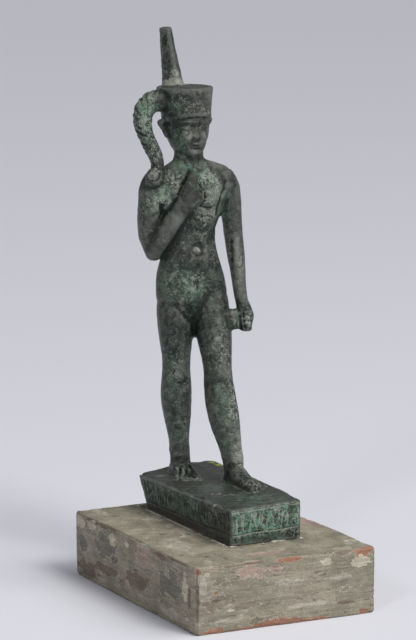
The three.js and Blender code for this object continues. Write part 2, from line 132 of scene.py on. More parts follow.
def relax(points, edges, rounds, weight=None, back=0.52):
    """Smooths without shrinking: a step towards the neighbours, then a step away."""
    weight = np.ones(len(points)) if weight is None else weight
    for _ in range(rounds):
        for share in (0.5, -back):
            step = neighbour_mean(points, edges) - points
            points = points + step * (share * weight)[:, None]
    return points


def write_value(mesh, name, values):
    attribute = mesh.attributes.new(name, "FLOAT", "POINT")
    attribute.data.foreach_set("value", np.asarray(values, dtype=np.float32))


def grain(points, size, seed=0.0, stretch=(1, 1, 1)):
    """Smooth noise between about -1 and 1, with features of about the given size."""
    scale = [1 / (size * s) for s in stretch]
    return np.array([
        noise.noise((p[0] * scale[0] + seed, p[1] * scale[1] - seed, p[2] * scale[2] + 3 * seed))
        for p in points
    ])


def cells(points, size, seed=0.0):
    """Distance to the nearest of scattered middles, in shares of the given size."""
    return np.array([
        noise.voronoi((p[0] / size + seed, p[1] / size, p[2] / size - seed))[0][0]
        for p in points
    ])


def rise(value, start, end):
    """0 before start, 1 after end, smooth between."""
    t = np.clip((value - start) / (end - start), 0, 1)
    return t * t * (3 - 2 * t)


def spot(points, middle, reach):
    """1 at the middle, falling to 0 over the reach along each axis."""
    away = sum(((points[:, k] - middle[k]) / reach[k]) ** 2 for k in range(3))
    return np.exp(-away)


def along_line(points, start, end):
    """Distance from a straight line, and the share of the way along it."""
    start, end = np.array(start, float), np.array(end, float)
    way = end - start
    share = ((points - start) @ way) / (way @ way)
    foot = start + np.clip(share, 0, 1)[:, None] * way
    return np.linalg.norm(points - foot, axis=1), share


# ---- figure

def cad_copy(node):
    bm = bmesh.new()
    bm.from_mesh(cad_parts[node].data)
    bmesh.ops.transform(bm, matrix=Matrix.Scale(1 / MM, 4), verts=bm.verts)
    bmesh.ops.remove_doubles(bm, verts=bm.verts, dist=0.005)
    return bm


def figure_skin():
    """The cast figure above its base, as one even skin."""
    bm = cad_copy("bronze_statuette")
    lean = Vector((-SOLE_RISE_TO_LEFT, SOLE_FALL_TO_BACK, 1)).normalized()
    geometry = bm.verts[:] + bm.edges[:] + bm.faces[:]
    bmesh.ops.bisect_plane(bm, geom=geometry, plane_co=(0, 0, SOLE_HEIGHT + 0.12),
                           plane_no=lean, clear_inner=True)
    rims = [e for e in bm.edges if e.is_boundary]
    soles = bmesh.ops.holes_fill(bm, edges=rims, sides=0)["faces"]
    sunk = bmesh.ops.extrude_face_region(bm, geom=soles)["geom"]
    bmesh.ops.translate(bm, vec=(0, 0, -0.9), verts=[v for v in sunk if isinstance(v, bmesh.types.BMVert)])
    bmesh.ops.delete(bm, geom=soles, context="FACES_ONLY")
    bmesh.ops.recalc_face_normals(bm, faces=bm.faces)
    mesh = mesh_of(bm, "figure_rough")
    rough = bpy.data.objects.new("figure_rough", mesh)
    bpy.context.scene.collection.objects.link(rough)
    skin = rough.modifiers.new("one_skin", "REMESH")
    skin.mode = "VOXEL"
    skin.voxel_size = VOXEL * MM
    ready = rough.evaluated_get(bpy.context.evaluated_depsgraph_get())
    whole = bpy.data.meshes.new_from_object(ready)
    bpy.data.objects.remove(rough)
    return whole


# Places with fine forms, as low and high corners: face, sidelock, right hand, left hand, toes
FINE_PLACES = (
    ((-2.5, 30, 180.5), (17.5, 46, 199.0)),
    ((0.5, 30, 184.4), (14.5, 43, 197.2)),
    ((-20, 30, 168), (-4.6, 60, 207)),
    ((-3, 26, 158), (12, 37.5, 179)),
    ((18, 27, 103), (33, 39, 118)),
    ((-8, 22, 43.9), (6, 42, 49)),
    ((7, -12, 43.9), (22.5, 4, 49)),
)


def refine(mesh):
    """Halves the faces where the fine forms are."""
    bm = bmesh.new()
    bm.from_mesh(mesh)
    for low, high in FINE_PLACES:
        low, high = Vector(low) * MM, Vector(high) * MM
        inside = {v for v in bm.verts if all(low[k] < v.co[k] < high[k] for k in range(3))}
        edges = [e for e in bm.edges if e.verts[0] in inside and e.verts[1] in inside]
        bmesh.ops.subdivide_edges(bm, edges=edges, cuts=1, use_grid_fill=True)
    bmesh.ops.triangulate(bm, faces=[f for f in bm.faces if len(f.verts) > 4])
    bm.to_mesh(mesh)
    bm.free()


# Face: half width and depth of the plain oval at each height, then forms on it
HEAD_MIDDLE_Y = 46.4
OVAL_HEIGHTS = (180, 182.2, 185, 188.5, 192.5, 196.5, 201)
OVAL_WIDTHS = (4.0, 5.8, 7.3, 8.6, 9.2, 9.3, 9.0)
OVAL_DEPTHS = (8.2, 8.9, 9.0, 8.8, 8.6, 8.6, 8.4)
OVAL_SQUARENESS = 2.15
# Aside from the middle, height, reach across, reach up, push
FACE_FORMS = (
    (3.6, 196.0, 3.0, 0.75, 0.40),
    (3.5, 193.4, 2.5, 1.5, -0.80),
    (1.8, 193.6, 0.9, 1.2, -0.45),
    (4.7, 189.6, 2.5, 2.2, 0.50),
    (0.0, 186.4, 3.0, 2.0, 0.55),
    (2.95, 186.1, 0.8, 0.8, -0.30),
    (0.0, 184.5, 2.3, 0.55, -0.45),
    (0.0, 182.9, 2.3, 1.5, 0.75),
    (1.45, 189.2, 0.6, 0.75, 0.85),
)
NOSE_HEIGHTS = (187.7, 188.2, 188.9, 189.5, 190.4, 192.0, 194.0, 195.6, 196.6)
NOSE_RISES = (0.0, 0.5, 1.9, 2.6, 2.35, 1.55, 0.85, 0.45, 0.1)
NOSE_WIDTHS = (1.4, 1.4, 1.45, 1.4, 1.2, 1.0, 0.9, 1.1, 1.6)
EYE_ASIDE = 3.6
EYE_HEIGHT = 193.2
EYE_HALF = 2.0
MOUTH_HEIGHT = 186.0
MOUTH_HALF = 2.7


def face_rise(aside, z):
    """How far the face stands out from its plain oval."""
    out = np.zeros_like(z)
    for middle, height, across, up, push in FACE_FORMS:
        out += push * np.exp(-((aside - middle) / across) ** 2 - ((z - height) / up) ** 2)
    width = np.interp(z, NOSE_HEIGHTS, NOSE_WIDTHS)
    out += np.interp(z, NOSE_HEIGHTS, NOSE_RISES) * np.exp(-np.abs(aside / width) ** 2.4)
    # Eyes: a ball between two lids, and a drawn line behind the outer corner
    u = aside - EYE_ASIDE
    v = z - EYE_HEIGHT - 0.05 * u
    arch = np.clip(1 - (u / EYE_HALF) ** 2, 0, 1)
    upper, lower = 0.95 * arch, -0.62 * arch
    in_eye = rise(upper - v, 0, 0.25) * rise(v - lower, 0, 0.25) * rise(EYE_HALF - np.abs(u), 0, 0.3)
    out += 0.72 * in_eye * np.sqrt(np.clip(1 - (u / 2.3) ** 2 - (v / 1.25) ** 2, 0, 1))
    near = rise(EYE_HALF + 0.3 - np.abs(u), 0, 0.4)
    out += 0.66 * near * np.exp(-((v - upper - 0.12) / 0.26) ** 2)
    out += 0.44 * near * np.exp(-((v - lower + 0.1) / 0.24) ** 2)
    tail = rise(u, EYE_HALF - 0.3, EYE_HALF) * rise(EYE_HALF + 1.7 - u, 0, 0.4)
    out += 0.24 * tail * np.exp(-(v / 0.24) ** 2)
    # Brow line
    brow = 196.2 - 0.035 * (aside - 3.0) ** 2
    out += 0.34 * rise(aside, 1.2, 1.9) * rise(7.2 - aside, 0, 0.8) * np.exp(-((z - brow) / 0.33) ** 2)
    # Lips
    line = MOUTH_HEIGHT + 0.035 * aside ** 2
    open_share = np.clip(1 - (aside / MOUTH_HALF) ** 2, 0, 1)
    bow = 0.12 * np.exp(-((aside - 0.7) / 0.5) ** 2)
    out += 0.42 * open_share * np.exp(-((z - line - 0.5 - bow) / 0.42) ** 2)
    out += 0.50 * open_share * np.exp(-((z - line + 0.62) / 0.5) ** 2)
    out -= 0.30 * np.sqrt(open_share) * np.exp(-((z - line) / 0.16) ** 2)
    out -= 0.14 * np.exp(-(aside / 0.4) ** 2 - ((z - 187.5) / 0.5) ** 2)
    # The forehead comes forward to meet the crown's rim
    return out + 0.75 * rise(z, 195.8, 198.0)


def shape_face(points, normals):
    x, y, z = points.T
    aside = np.abs(x - BODY_X)
    width = np.interp(z, OVAL_HEIGHTS, OVAL_WIDTHS)
    depth = np.interp(z, OVAL_HEIGHTS, OVAL_DEPTHS)
    share = np.clip(aside / width, 0, 0.98)
    oval = (1 - share ** OVAL_SQUARENESS) ** (1 / OVAL_SQUARENESS)
    target = HEAD_MIDDLE_Y - depth * oval - face_rise(aside, z)
    inside = rise(0.9 - share, 0, 0.22) * rise(z, 181.3, 182.6) * rise(197.9 - z, 0, 0.8)
    inside *= (y < HEAD_MIDDLE_Y - 3) * rise(-normals[:, 1], 0.0, 0.3)
    points[:, 1] = y + (target - y) * inside
    return inside


# Forms of the body: middle, reach, push outwards
BODY_FORMS = (
    ((1.5, 39.7, 89.5), (3.2, 4, 3.4), 0.55),
    ((1.5, 39.7, 84.6), (3.4, 4, 1.8), -0.18),
    ((14.0, 24.7, 89.5), (3.2, 4, 3.4), 0.55),
    ((14.0, 25.0, 84.6), (3.4, 4, 1.8), -0.18),
    ((-1.2, 47.0, 53.0), (1.6, 2.0, 1.8), 0.55),
    ((7.0, 46.5, 54.0), (1.6, 2.0, 1.8), 0.55),
    ((9.7, 17.5, 54.6), (1.6, 2.0, 1.8), 0.50),
    ((18.0, 17.0, 54.0), (1.6, 2.0, 1.8), 0.50),
    ((7.0, 34.0, 136.0), (9.0, 5, 4.0), 0.35),
    ((7.2, 34.4, 142.2), (3.2, 4, 2.8), -1.7),
    ((6.3, 34.0, 141.8), (1.8, 3, 1.55), 1.75),
    ((10.4, 35.0, 140.4), (1.3, 3, 2.6), 0.45),
    ((8.0, 34.6, 138.4), (3.0, 3, 0.9), 0.35),
    ((13.0, 35.5, 165.5), (5.0, 4, 4.0), 0.35),
    ((1.0, 53.0, 168.0), (4.0, 3, 6.0), 0.45),
    ((14.0, 53.0, 168.0), (4.0, 3, 6.0), 0.45),
    ((7.4, 31.0, 169.8), (2.2, 3, 2.4), -1.5),
    ((-3.9, 46.4, 192.9), (1.2, 2.0, 2.1), -1.8),
    ((-5.2, 47.5, 193.8), (0.9, 2.2, 3.2), 0.6),
    ((-1.4, 45.4, 191.8), (0.8, 1.6, 3.0), 0.45),
    ((18.9, 46.4, 192.9), (1.2, 2.0, 2.1), -1.8),
    ((20.2, 47.5, 193.8), (0.9, 2.2, 3.2), 0.6),
    ((19.5, 43.5, 174.0), (5.0, 5, 3.0), 0.8),
    ((13.6, 42.5, 180.0), (3.0, 6, 2.2), -0.8),
    ((24.0, 44.0, 175.0), (2.4, 7, 2.4), 0.45),
    ((28.0, 38.6, 133.0), (2.4, 3, 7.0), 0.45),
    ((17.0, 35.5, 126.0), (4.0, 4, 5.0), 0.4),
    ((31.5, 34.0, 112.0), (2.5, 4, 4.5), 0.6),
    ((21.5, 43.0, 118.5), (4, 8, 7), 1.3),
    ((28.4, 44.0, 171.6), (2.4, 7, 2.6), -0.2),
    ((28.5, 46.0, 163.0), (3, 7, 12), 0.4),
    ((26.8, 37.6, 139.0), (1.6, 3, 7.0), 0.5),
    ((16.5, 9.0, 52.5), (3.5, 4, 3.5), 0.5),
    ((-7.0, 50.0, 207.5), (2.5, 4, 2.5), 0.5),
)
# Grooves: start, end, half width, depth
GROOVES = (
    ((8.0, 35.0, 159.9), (12.5, 35.8, 159.2), 0.6, 0.6),
    ((12.5, 35.8, 159.2), (16.6, 36.6, 160.0), 0.6, 0.5),
    ((21.4, 37.2, 170.2), (20.3, 36.9, 167.1), 0.8, 0.6),
    ((20.3, 36.9, 167.1), (18.4, 36.1, 163.8), 0.8, 0.8),
    ((18.4, 36.1, 163.8), (17.2, 36.6, 159.6), 0.8, 0.8),
    ((17.2, 36.6, 159.6), (16.7, 37.5, 155.2), 0.8, 0.6),
    ((7.5, 33.4, 150.6), (7.5, 34.0, 158.4), 0.9, 0.28),
    ((-4.6, 36.4, 119.5), (4.4, 35.8, 109.8), 0.9, 0.55),
    ((19.0, 35.6, 119.5), (10.2, 35.8, 109.8), 0.9, 0.55),
    ((-2.2, 35.8, 165.2), (0.4, 36.3, 169.2), 0.9, 1.0),
    ((0.4, 36.3, 169.2), (3.5, 37.5, 173.4), 0.85, 1.1),
    ((3.5, 37.5, 173.4), (5.2, 37.6, 177.2), 0.7, 0.9),
    ((8.6, 37.6, 175.0), (7.4, 36.0, 170.6), 0.5, 0.6),
    ((7.4, 36.0, 170.6), (10.2, 35.4, 166.4), 0.55, 0.8),
    ((10.2, 35.4, 166.4), (10.4, 35.0, 163.0), 0.55, 0.8),
    ((10.4, 35.0, 163.0), (7.6, 35.2, 159.6), 0.6, 0.8),
    ((7.5, 51.6, 121.0), (7.5, 51.0, 110.0), 1.0, 0.9),
    ((-5.0, 52.6, 109.6), (5.6, 52.8, 109.4), 1.0, 0.5),
    ((9.4, 50.8, 109.4), (20.0, 50.6, 109.6), 1.0, 0.5),
    ((7.5, 52.5, 138.0), (7.5, 52.0, 168.0), 1.1, 0.35),
    ((25.0, 33.2, 116.0), (24.6, 30.8, 111.0), 0.55, 0.8),
    ((23.4, 32.6, 114.6), (23.1, 31.2, 107.6), 0.40, 0.4),
    ((24.6, 30.8, 111.0), (25.8, 31.6, 105.6), 0.55, 0.8),
    ((26.0, 30.5, 114.6), (27.4, 30.6, 105.6), 0.4, 0.5),
    ((25.1, 39.4, 144.5), (25.3, 39.2, 134.0), 0.7, 0.5),
    ((10.6, 58.2, 214.0), (9.6, 62.4, 231.0), 0.5, 0.45),
    ((8.8, 57.0, 216.0), (8.3, 61.4, 232.0), 0.35, 0.35),
    ((-3.6, 29.6, 44.2), (-2.9, 34.0, 47.0), 0.42, 0.55),
    ((-1.7, 28.2, 44.2), (-1.2, 33.0, 47.0), 0.42, 0.55),
    ((0.3, 27.0, 44.2), (0.5, 32.5, 47.0), 0.42, 0.55),
    ((2.4, 25.8, 44.2), (2.2, 31.5, 47.2), 0.45, 0.6),
    ((-0.2, 39.2, 46.8), (-3.9, 31.8, 43.8), 0.42, 0.5),
    ((2.1, 37.7, 46.4), (-2.3, 28.8, 43.8), 0.42, 0.5),
    ((3.4, 34.5, 45.7), (0.1, 28.2, 43.6), 0.42, 0.45),
    ((11.7, -8.0, 44.2), (14.6, 1.6, 47.0), 0.45, 0.6),
    ((14.2, -6.8, 44.4), (17.4, 2.6, 46.6), 0.42, 0.6),
    ((16.4, -3.4, 44.4), (16.0, 1.6, 47.0), 0.42, 0.55),
    ((18.4, -1.6, 44.4), (17.8, 3.0, 46.8), 0.42, 0.55),
    ((-0.5, 42.4, 197.6), (0.6, 43.6, 186.0), 0.55, 0.6),
    ((15.5, 42.4, 197.6), (14.4, 43.6, 186.0), 0.55, 0.6),
)
LOCK_PATH = (
    (-9.6, 40.2, 176.2, 2.8), (-9.2, 41.6, 180.6, 3.0), (-10.4, 43.6, 185.4, 3.3), (-12.3, 45.8, 191, 3.5),
    (-13.2, 47.0, 196.4, 4.1), (-12.0, 47.6, 201.4, 4.5), (-8.2, 48.0, 204.4, 4.7), (-3.2, 48.4, 204.6, 4.9),
)
PLAIT_PITCH = 2.5
PLAIT_STRANDS = 8
PLAIT_DEEP = 0.55
PLAIT_WORN = 0.22
# The skin over the legs stands a little proud of the solid; the lock and the rod lean a little outwards
LEG_FULLER = 0.28
LOCK_ASIDE = 0.4
ROD_ASIDE = 0.3
# The lock's round end: middle, the way its coil faces, radii of the coil and its depth
COIL_MIDDLE = (-12.2, 38.0, 174.6)
COIL_FACING = (-0.35, -0.93, 0.1)
COIL_INNER = 0.9
COIL_OUTER = 2.9
COIL_START = -0.6
COIL_DEEP = 0.55


def plait_cut(points):
    """Depth of the plait's slanting grooves, by how far along and round the lock a point is."""
    knots = np.array(LOCK_PATH)
    t = np.linspace(0, len(knots) - 1, 200)
    path = np.stack([np.interp(t, range(len(knots)), knots[:, k]) for k in range(4)], axis=1)
    for _ in range(30):
        path[1:-1] += 0.5 * ((path[:-2] + path[2:]) / 2 - path[1:-1])
    length = np.concatenate([[0], np.cumsum(np.linalg.norm(np.diff(path[:, :3], axis=0), axis=1))])
    away = np.linalg.norm(points[:, None, :] - path[None, :, :3], axis=2)
    nearest = away.argmin(axis=1)
    reach = away.min(axis=1)
    way = np.gradient(path[:, :3], axis=0)[nearest]
    way /= np.linalg.norm(way, axis=1)[:, None]
    offset = points - path[nearest, :3]
    across = np.cross(way, np.array([0.0, 1.0, 0.0]))
    across /= np.linalg.norm(across, axis=1)[:, None]
    turn = np.arctan2((offset * across).sum(1), -offset[:, 1])
    # The strands wind round the lock, deepest on its outer side and rubbed off below
    phase = length[nearest] / PLAIT_PITCH - PLAIT_STRANDS * turn / (2 * math.pi)
    wave = 0.5 - 0.5 * np.cos(2 * np.pi * phase)
    outer = rise(np.cos(turn - 1.9), 0.0, 0.85)
    deep = PLAIT_DEEP * (PLAIT_WORN + (1 - PLAIT_WORN) * outer) * (0.35 + 0.65 * rise(points[:, 2], 184, 190))
    fit = rise(path[nearest, 3] + 1.6 - reach, 0, 0.8) * rise(-4.6 - points[:, 0], 0, 2)
    return deep * wave * fit * rise(points[:, 2], 177, 180)


def coil_cut(points):
    """Depth of the groove that winds inwards on the lock's round end."""
    middle = np.array(COIL_MIDDLE)
    out = np.array(COIL_FACING) / np.linalg.norm(COIL_FACING)
    across = np.cross(out, (0.0, 0.0, 1.0))
    across /= np.linalg.norm(across)
    off = points - middle
    a, b = off @ across, off @ np.cross(across, out)
    turn = np.mod(np.arctan2(b, a) - COIL_START, 2 * math.pi)
    line = COIL_INNER + (COIL_OUTER - COIL_INNER) * turn / (2 * math.pi)
    ends = rise(turn, 0, 0.5) * rise(2 * math.pi - turn, 0, 0.8)
    facing = rise(off @ out, -0.5, 1.0) * rise(5.5 - np.linalg.norm(off, axis=1), 0, 1)
    return COIL_DEEP * facing * ends * np.exp(-((np.hypot(a, b) - line) / 0.42) ** 2)


def bronze_smoothing_weight(points):
    """Large forms are smoothed freely, crisp or small ones hardly at all."""
    x, y, z = points.T
    weight = np.ones(len(points))
    rod = (z > 210.6) & (y > 52)
    crown = (z > CROWN_RIM - 6) & (np.hypot(x - BODY_X, y - 48) < 13.6)
    hands = ((x > 18) & (z < 118) & (z > 104)) | ((y < 35.4) & (z > 158) & (z < 179))
    feet = z < 52
    for mask, value in ((crown, 0.35), (rod, 0.08), (hands, 0.3), (feet, 0.25)):
        weight[mask] = value
    return weight


def sculpt_figure():
    mesh = figure_skin()
    points, edges = read_points(mesh), read_edges(mesh)
    points = relax(points, edges, 26, bronze_smoothing_weight(points))
    write_points(mesh, points)
    refine(mesh)
    points, edges = read_points(mesh), read_edges(mesh)
    points = relax(points, edges, 3, bronze_smoothing_weight(points))
    write_points(mesh, points)
    normals = read_normals(mesh)
    on_face = shape_face(points, normals)
    write_points(mesh, points)
    points = relax(points, edges, 1, on_face * 0.6)
    write_points(mesh, points)
    normals = read_normals(mesh)
    push = np.zeros(len(points))
    for middle, reach, height in BODY_FORMS:
        push += height * spot(points, middle, reach)
    for start, end, half, deep in GROOVES:
        off, share = along_line(points, start, end)
        ends = rise(share, -0.05, 0.12) * rise(1.05 - share, 0, 0.17)
        push -= deep * ends * np.exp(-(off / half) ** 2)
    lock = np.flatnonzero((points[:, 0] < -3.5) & (points[:, 2] > 175))
    push[lock] -= plait_cut(points[lock])
    low = np.flatnonzero((points[:, 0] < -7) & (points[:, 2] > 169) & (points[:, 2] < 180) & (points[:, 1] < 39))
    push[low] -= coil_cut(points[low])
    folded = spot(points, *CHEST_FOLDS)
    near = np.flatnonzero(folded > 0.03)
    push[near] += 0.55 * folded[near] * grain(points[near], 1.9, 21.0, (1.3, 1, 0.8))
    rod = np.flatnonzero((points[:, 2] > 211) & (points[:, 1] > 51))
    push[rod] += 0.16 * grain(points[rod], 0.9, 14.0, (1, 1, 16))
    push += crown_push(points)
    push += LEG_FULLER * rise(points[:, 2], 47, 53) * rise(112 - points[:, 2], 0, 25)
    points = points + normals * push[:, None]
    points[:, 0] -= LOCK_ASIDE * spot(points, (-12, 44, 186), (7, 20, 7))
    points[:, 0] -= ROD_ASIDE * rise(points[:, 2], 212, 228) * (points[:, 1] > 51)
    write_points(mesh, points)
    return mesh, edges


def crown_push(points):
    """A band round the crown's lower edge, and a tab down in front of each ear."""
    x, y, z = points.T
    round_it = np.hypot(x - BODY_X, y - 47.2)
    slope = (1 + (y - 47.2) / np.maximum(round_it, 1)) / 2
    rim = CROWN_RIM - 5.7 * slope
    band = rise(z - rim, -0.1, 0.25) * rise(rim + 2.0 - z, 0, 0.35) * (round_it > 8.5) * (z < 204)
    aside = np.abs(x - BODY_X)
    tab = rise(aside, 7.4, 8.0) * rise(y, 41.6, 42.1) * rise(44.4 - y, 0, 0.5)
    tab *= rise(z, 184.6, 185.4) * rise(rim + 0.4 - z, 0, 0.4) * (aside < 10.6)
    return 0.12 * band + 0.3 * tab


# Places of the figure: middle, reach, share. Grainy crust, green patina, smooth brown skin, pale deposit
FIGURE_CRUST = (
    ((14, 35.5, 168), (6.5, 5, 9), 1.0),
    ((12.5, 36, 156), (6, 4, 4.5), 0.9),
    ((12, 37, 204), (8, 6, 7), 0.42),
    ((2, 37, 204), (7, 6, 6), 0.4),
    ((7.5, 37, 188), (9, 6, 9), 0.22),
    ((-13, 46, 198), (6, 6, 11), 0.9),
    ((-10, 42, 182), (4, 5, 8), 0.85),
    ((-12, 36, 174.5), (5, 5, 5), 0.6),
    ((-9, 39, 163), (6, 5, 8), 1.0),
    ((-3, 37, 169), (5, 4, 6), 0.8),
    ((8, 36, 143), (9, 4, 7), 0.35),
    ((15, 38, 140), (4, 5, 8), 0.4),
    ((3, 36, 126), (9, 5, 8), 0.6),
    ((17, 20, 75), (4, 8, 18), 0.7),
    ((16, 13, 55), (4, 5, 6), 0.85),
    ((-1, 34, 48), (5, 5, 4), 0.6),
    ((13, 0, 48), (6, 6, 4), 0.5),
    ((4, 42, 62), (5, 5, 14), 0.6),
    ((0, 40, 88), (6, 7, 16), 0.5),
    ((14, 26, 98), (6, 8, 12), 0.45),
    ((-8, 36, 150), (4, 6, 6), 0.35),
    ((28, 40, 134), (3.5, 5, 12), 0.8),
    ((28.5, 31, 111), (2.4, 4, 4), 1.0),
    ((21.9, 32, 111), (1.6, 4, 3.5), 0.5),
    ((-16, 45, 158), (4, 7, 14), 0.5),
    ((4, 56, 165), (9, 5, 12), 0.6),
    ((8, 55, 92), (9, 6, 14), 0.5),
)
FIGURE_GREEN = (
    ((-8.5, 38.8, 164), (5, 5, 6), 1.0),
    ((3.5, 38, 176), (4, 5, 3), 0.9),
    ((10, 37, 172), (3, 4, 6), 0.8),
    ((-13, 45, 200), (5, 6, 8), 0.9),
    ((1.5, 40, 186), (2.6, 4, 7), 0.5),
    ((22, 40, 158), (2, 4, 8), 0.7),
    ((14, 36, 165), (5, 4, 7), 0.45),
    ((5, 35, 127), (7, 5, 7), 0.6),
    ((3, 42, 58), (4, 4, 6), 0.5),
    ((12, 18, 58), (4, 4, 6), 0.5),
    ((11, 20, 76), (4, 6, 12), 0.4),
    ((-2, 42, 78), (5, 6, 14), 0.4),
    ((-4, 40, 128), (5, 6, 8), 0.4),
    ((-2, 37, 203), (5, 6, 7), 0.35),
    ((23.9, 31.6, 111), (1.0, 3, 4.0), 0.8),
    ((10, 54, 150), (8, 5, 10), 0.5),
    ((0, 54, 80), (6, 6, 10), 0.4),
)
FIGURE_SMOOTH = (
    ((19.6, 32, 111), (1.2, 3, 4.0), 0.9),
    ((2, 31, 163), (5, 5, 6), 1.0),
    ((-4, 33, 152), (7, 6, 7), 0.8),
    ((-11, 44, 170), (5, 6, 5), 0.7),
    ((25, 42, 164), (4, 6, 9), 0.8),
    ((-12, 41, 142), (5, 6, 6), 0.5),
    ((24, 44, 172), (5, 7, 7), 0.8),
    ((8.5, 37, 190), (6, 6, 7), 0.4),
    ((12, 36, 204), (8, 6, 7), 0.42),
)
FIGURE_PALE = (
    ((7.6, 56.5, 211.4), (8, 5, 2.4), 1.0),
    ((7.6, 56.5, 215), (5, 4.5, 3.5), 0.62),
    ((0.5, 39.5, 52.2), (4, 3, 1.2), 0.5),
    ((6.3, 34.0, 141.8), (1.7, 3, 1.5), 0.7),
    ((-1.5, 39.5, 47.0), (0.5, 2.5, 2.6), 0.75),
    ((0.2, 36.5, 47.0), (0.5, 2.5, 2.6), 0.7),
    ((2.0, 34.8, 46.8), (0.45, 2.5, 2.4), 0.7),
    ((3.2, 30.0, 44.8), (2.0, 3.5, 0.8), 0.6),
    ((13.5, -3.5, 45.6), (3.4, 4.0, 0.9), 0.6),
)
# Crests rubbed light and shining by handling, with painted highlights laid on them
FIGURE_WEAR_AND_HIGHLIGHT = (
    ((4.2, 38.4, 190.2), (1.9, 3, 2.2), 1.0),
    ((6.6, 35.5, 190.5), (0.7, 3, 3.2), 0.9),
    ((6.2, 37, 183.6), (2.2, 3, 1.3), 0.8),
    ((3.4, 38.6, 193.3), (1.6, 3, 0.8), 0.7),
    ((6.8, 36.5, 187.0), (1.6, 3, 0.5), 0.6),
    ((5.0, 38.0, 196.4), (3.0, 3, 0.7), 0.4),
    ((11.4, 37.5, 190.0), (1.6, 3, 2.4), 0.5),
    ((6.3, 33.6, 141.8), (1.9, 3, 1.6), 1.0),
    ((21.8, 31.3, 112.5), (1.2, 3, 3.0), 0.6),
    ((26.8, 38.0, 140.5), (1.2, 3, 6.0), 0.6),
    ((-3.5, 31.0, 155.5), (3.5, 4, 5.0), 0.75),
    ((27.5, 38.0, 128.0), (1.4, 4, 6.0), 0.4),
    ((14.2, 13.0, 54.3), (1.8, 4, 1.5), 1.0),
    ((16.5, 12.0, 52.4), (1.6, 4, 2.0), 0.6),
    ((0.8, 43.1, 51.7), (2.6, 3, 0.8), 0.7),
    ((-1.4, 44.5, 56.0), (0.9, 4, 4.0), 0.5),
    ((17.0, 15.0, 60.0), (1.4, 4, 6.0), 0.6),
    ((20, 44, 178.5), (6, 6, 2.0), 0.4),
    ((13.5, 35.5, 167), (5, 5, 8), 0.4),
    ((-8.5, 38.5, 163), (4, 5, 5), 0.35),
    ((13, 36, 204), (7, 6, 6), 0.22),
)
# Crests of toes and sinews, rubbed light and painted with highlights: start, end, half width, share
WEAR_AND_HIGHLIGHT_LINES = (
    ((-0.8, 40.8, 47.0), (-5.0, 32.3, 43.8), 0.50, 0.95),
    ((1.2, 38.7, 46.8), (-2.9, 30.5, 44.0), 0.55, 0.95),
    ((3.7, 38.0, 46.5), (-0.5, 29.5, 43.5), 0.50, 0.95),
    ((2.6, 32.2, 45.4), (0.4, 27.1, 43.6), 0.40, 0.7),
    ((12.8, 1.2, 47.0), (10.6, -8.0, 44.8), 0.50, 1.0),
    ((16.2, 3.0, 46.8), (12.9, -7.4, 44.9), 0.50, 1.0),
    ((18.2, 2.6, 46.2), (15.4, -6.2, 45.0), 0.45, 1.0),
    ((-0.8, 44.2, 51.0), (2.6, 42.8, 53.6), 0.50, 0.9),
    ((21.9, 32.2, 113.8), (22.4, 31.2, 108.6), 0.60, 1.0),
    ((27.6, 30.2, 111.6), (28.3, 30.3, 107.8), 0.45, 1.0),
)
# Small folds of the skin over the chest's lower edge
CHEST_FOLDS = ((9.5, 35.8, 156.0), (6.0, 5.0, 3.4))


def strongest(points, places):
    """How strongly each point belongs to a list of soft places."""
    total = np.zeros(len(points))
    for middle, reach, share in places:
        total = np.maximum(total, share * spot(points, middle, reach))
    return total


def lined(points, lines):
    """How strongly each point belongs to a list of soft lines."""
    total = np.zeros(len(points))
    for start, end, half, share in lines:
        off, along = along_line(points, start, end)
        ends = rise(along, -0.05, 0.15) * rise(1.05 - along, 0, 0.2)
        total = np.maximum(total, share * ends * np.exp(-(off / half) ** 4))
    return total


def weather_bronze(mesh, edges, crust, pale):
    """Grain, pits and dents of the old surface, and the values that the finish reads."""
    points, normals = read_points(mesh), read_normals(mesh)
    patchy = grain(points, 5.5, 2.0)
    ragged = grain(points, 1.9, 12.0)
    crust = np.clip(crust * (1.0 + 0.8 * patchy + 0.5 * ragged), 0, 1)
    push = 0.12 * grain(points, 8.0) + 0.085 * grain(points, 2.8, 7.0)
    push += (0.03 + 0.05 * crust) * grain(points, 0.95, 5.0)
    push += crust * 0.15 * (grain(points, 1.6, 9.0) + 0.2)
    pit = rise(0.17 - cells(points, 2.6, 4.0), 0, 0.10) * rise(patchy, -0.1, 0.3)
    small_pit = rise(0.22 - cells(points, 1.5, 8.0), 0, 0.12) * rise(ragged, 0.0, 0.4)
    push -= 0.24 * pit + 0.12 * small_pit
    pale = pale * rise(pale + 0.5 * ragged + 0.3 * patchy, 0.15, 0.45)
    push += 0.10 * pale
    points = points + normals * push[:, None]
    write_points(mesh, points)
    soft = points
    for _ in range(10):
        soft = soft + 0.6 * (neighbour_mean(soft, edges) - soft)
    relief = ((points - soft) * read_normals(mesh)).sum(1)
    write_value(mesh, "relief", np.clip(relief / 0.22, -1, 1))
    write_value(mesh, "crust", crust)
    write_value(mesh, "pale", np.clip(pale, 0, 1))
    return points


# ---- cast base

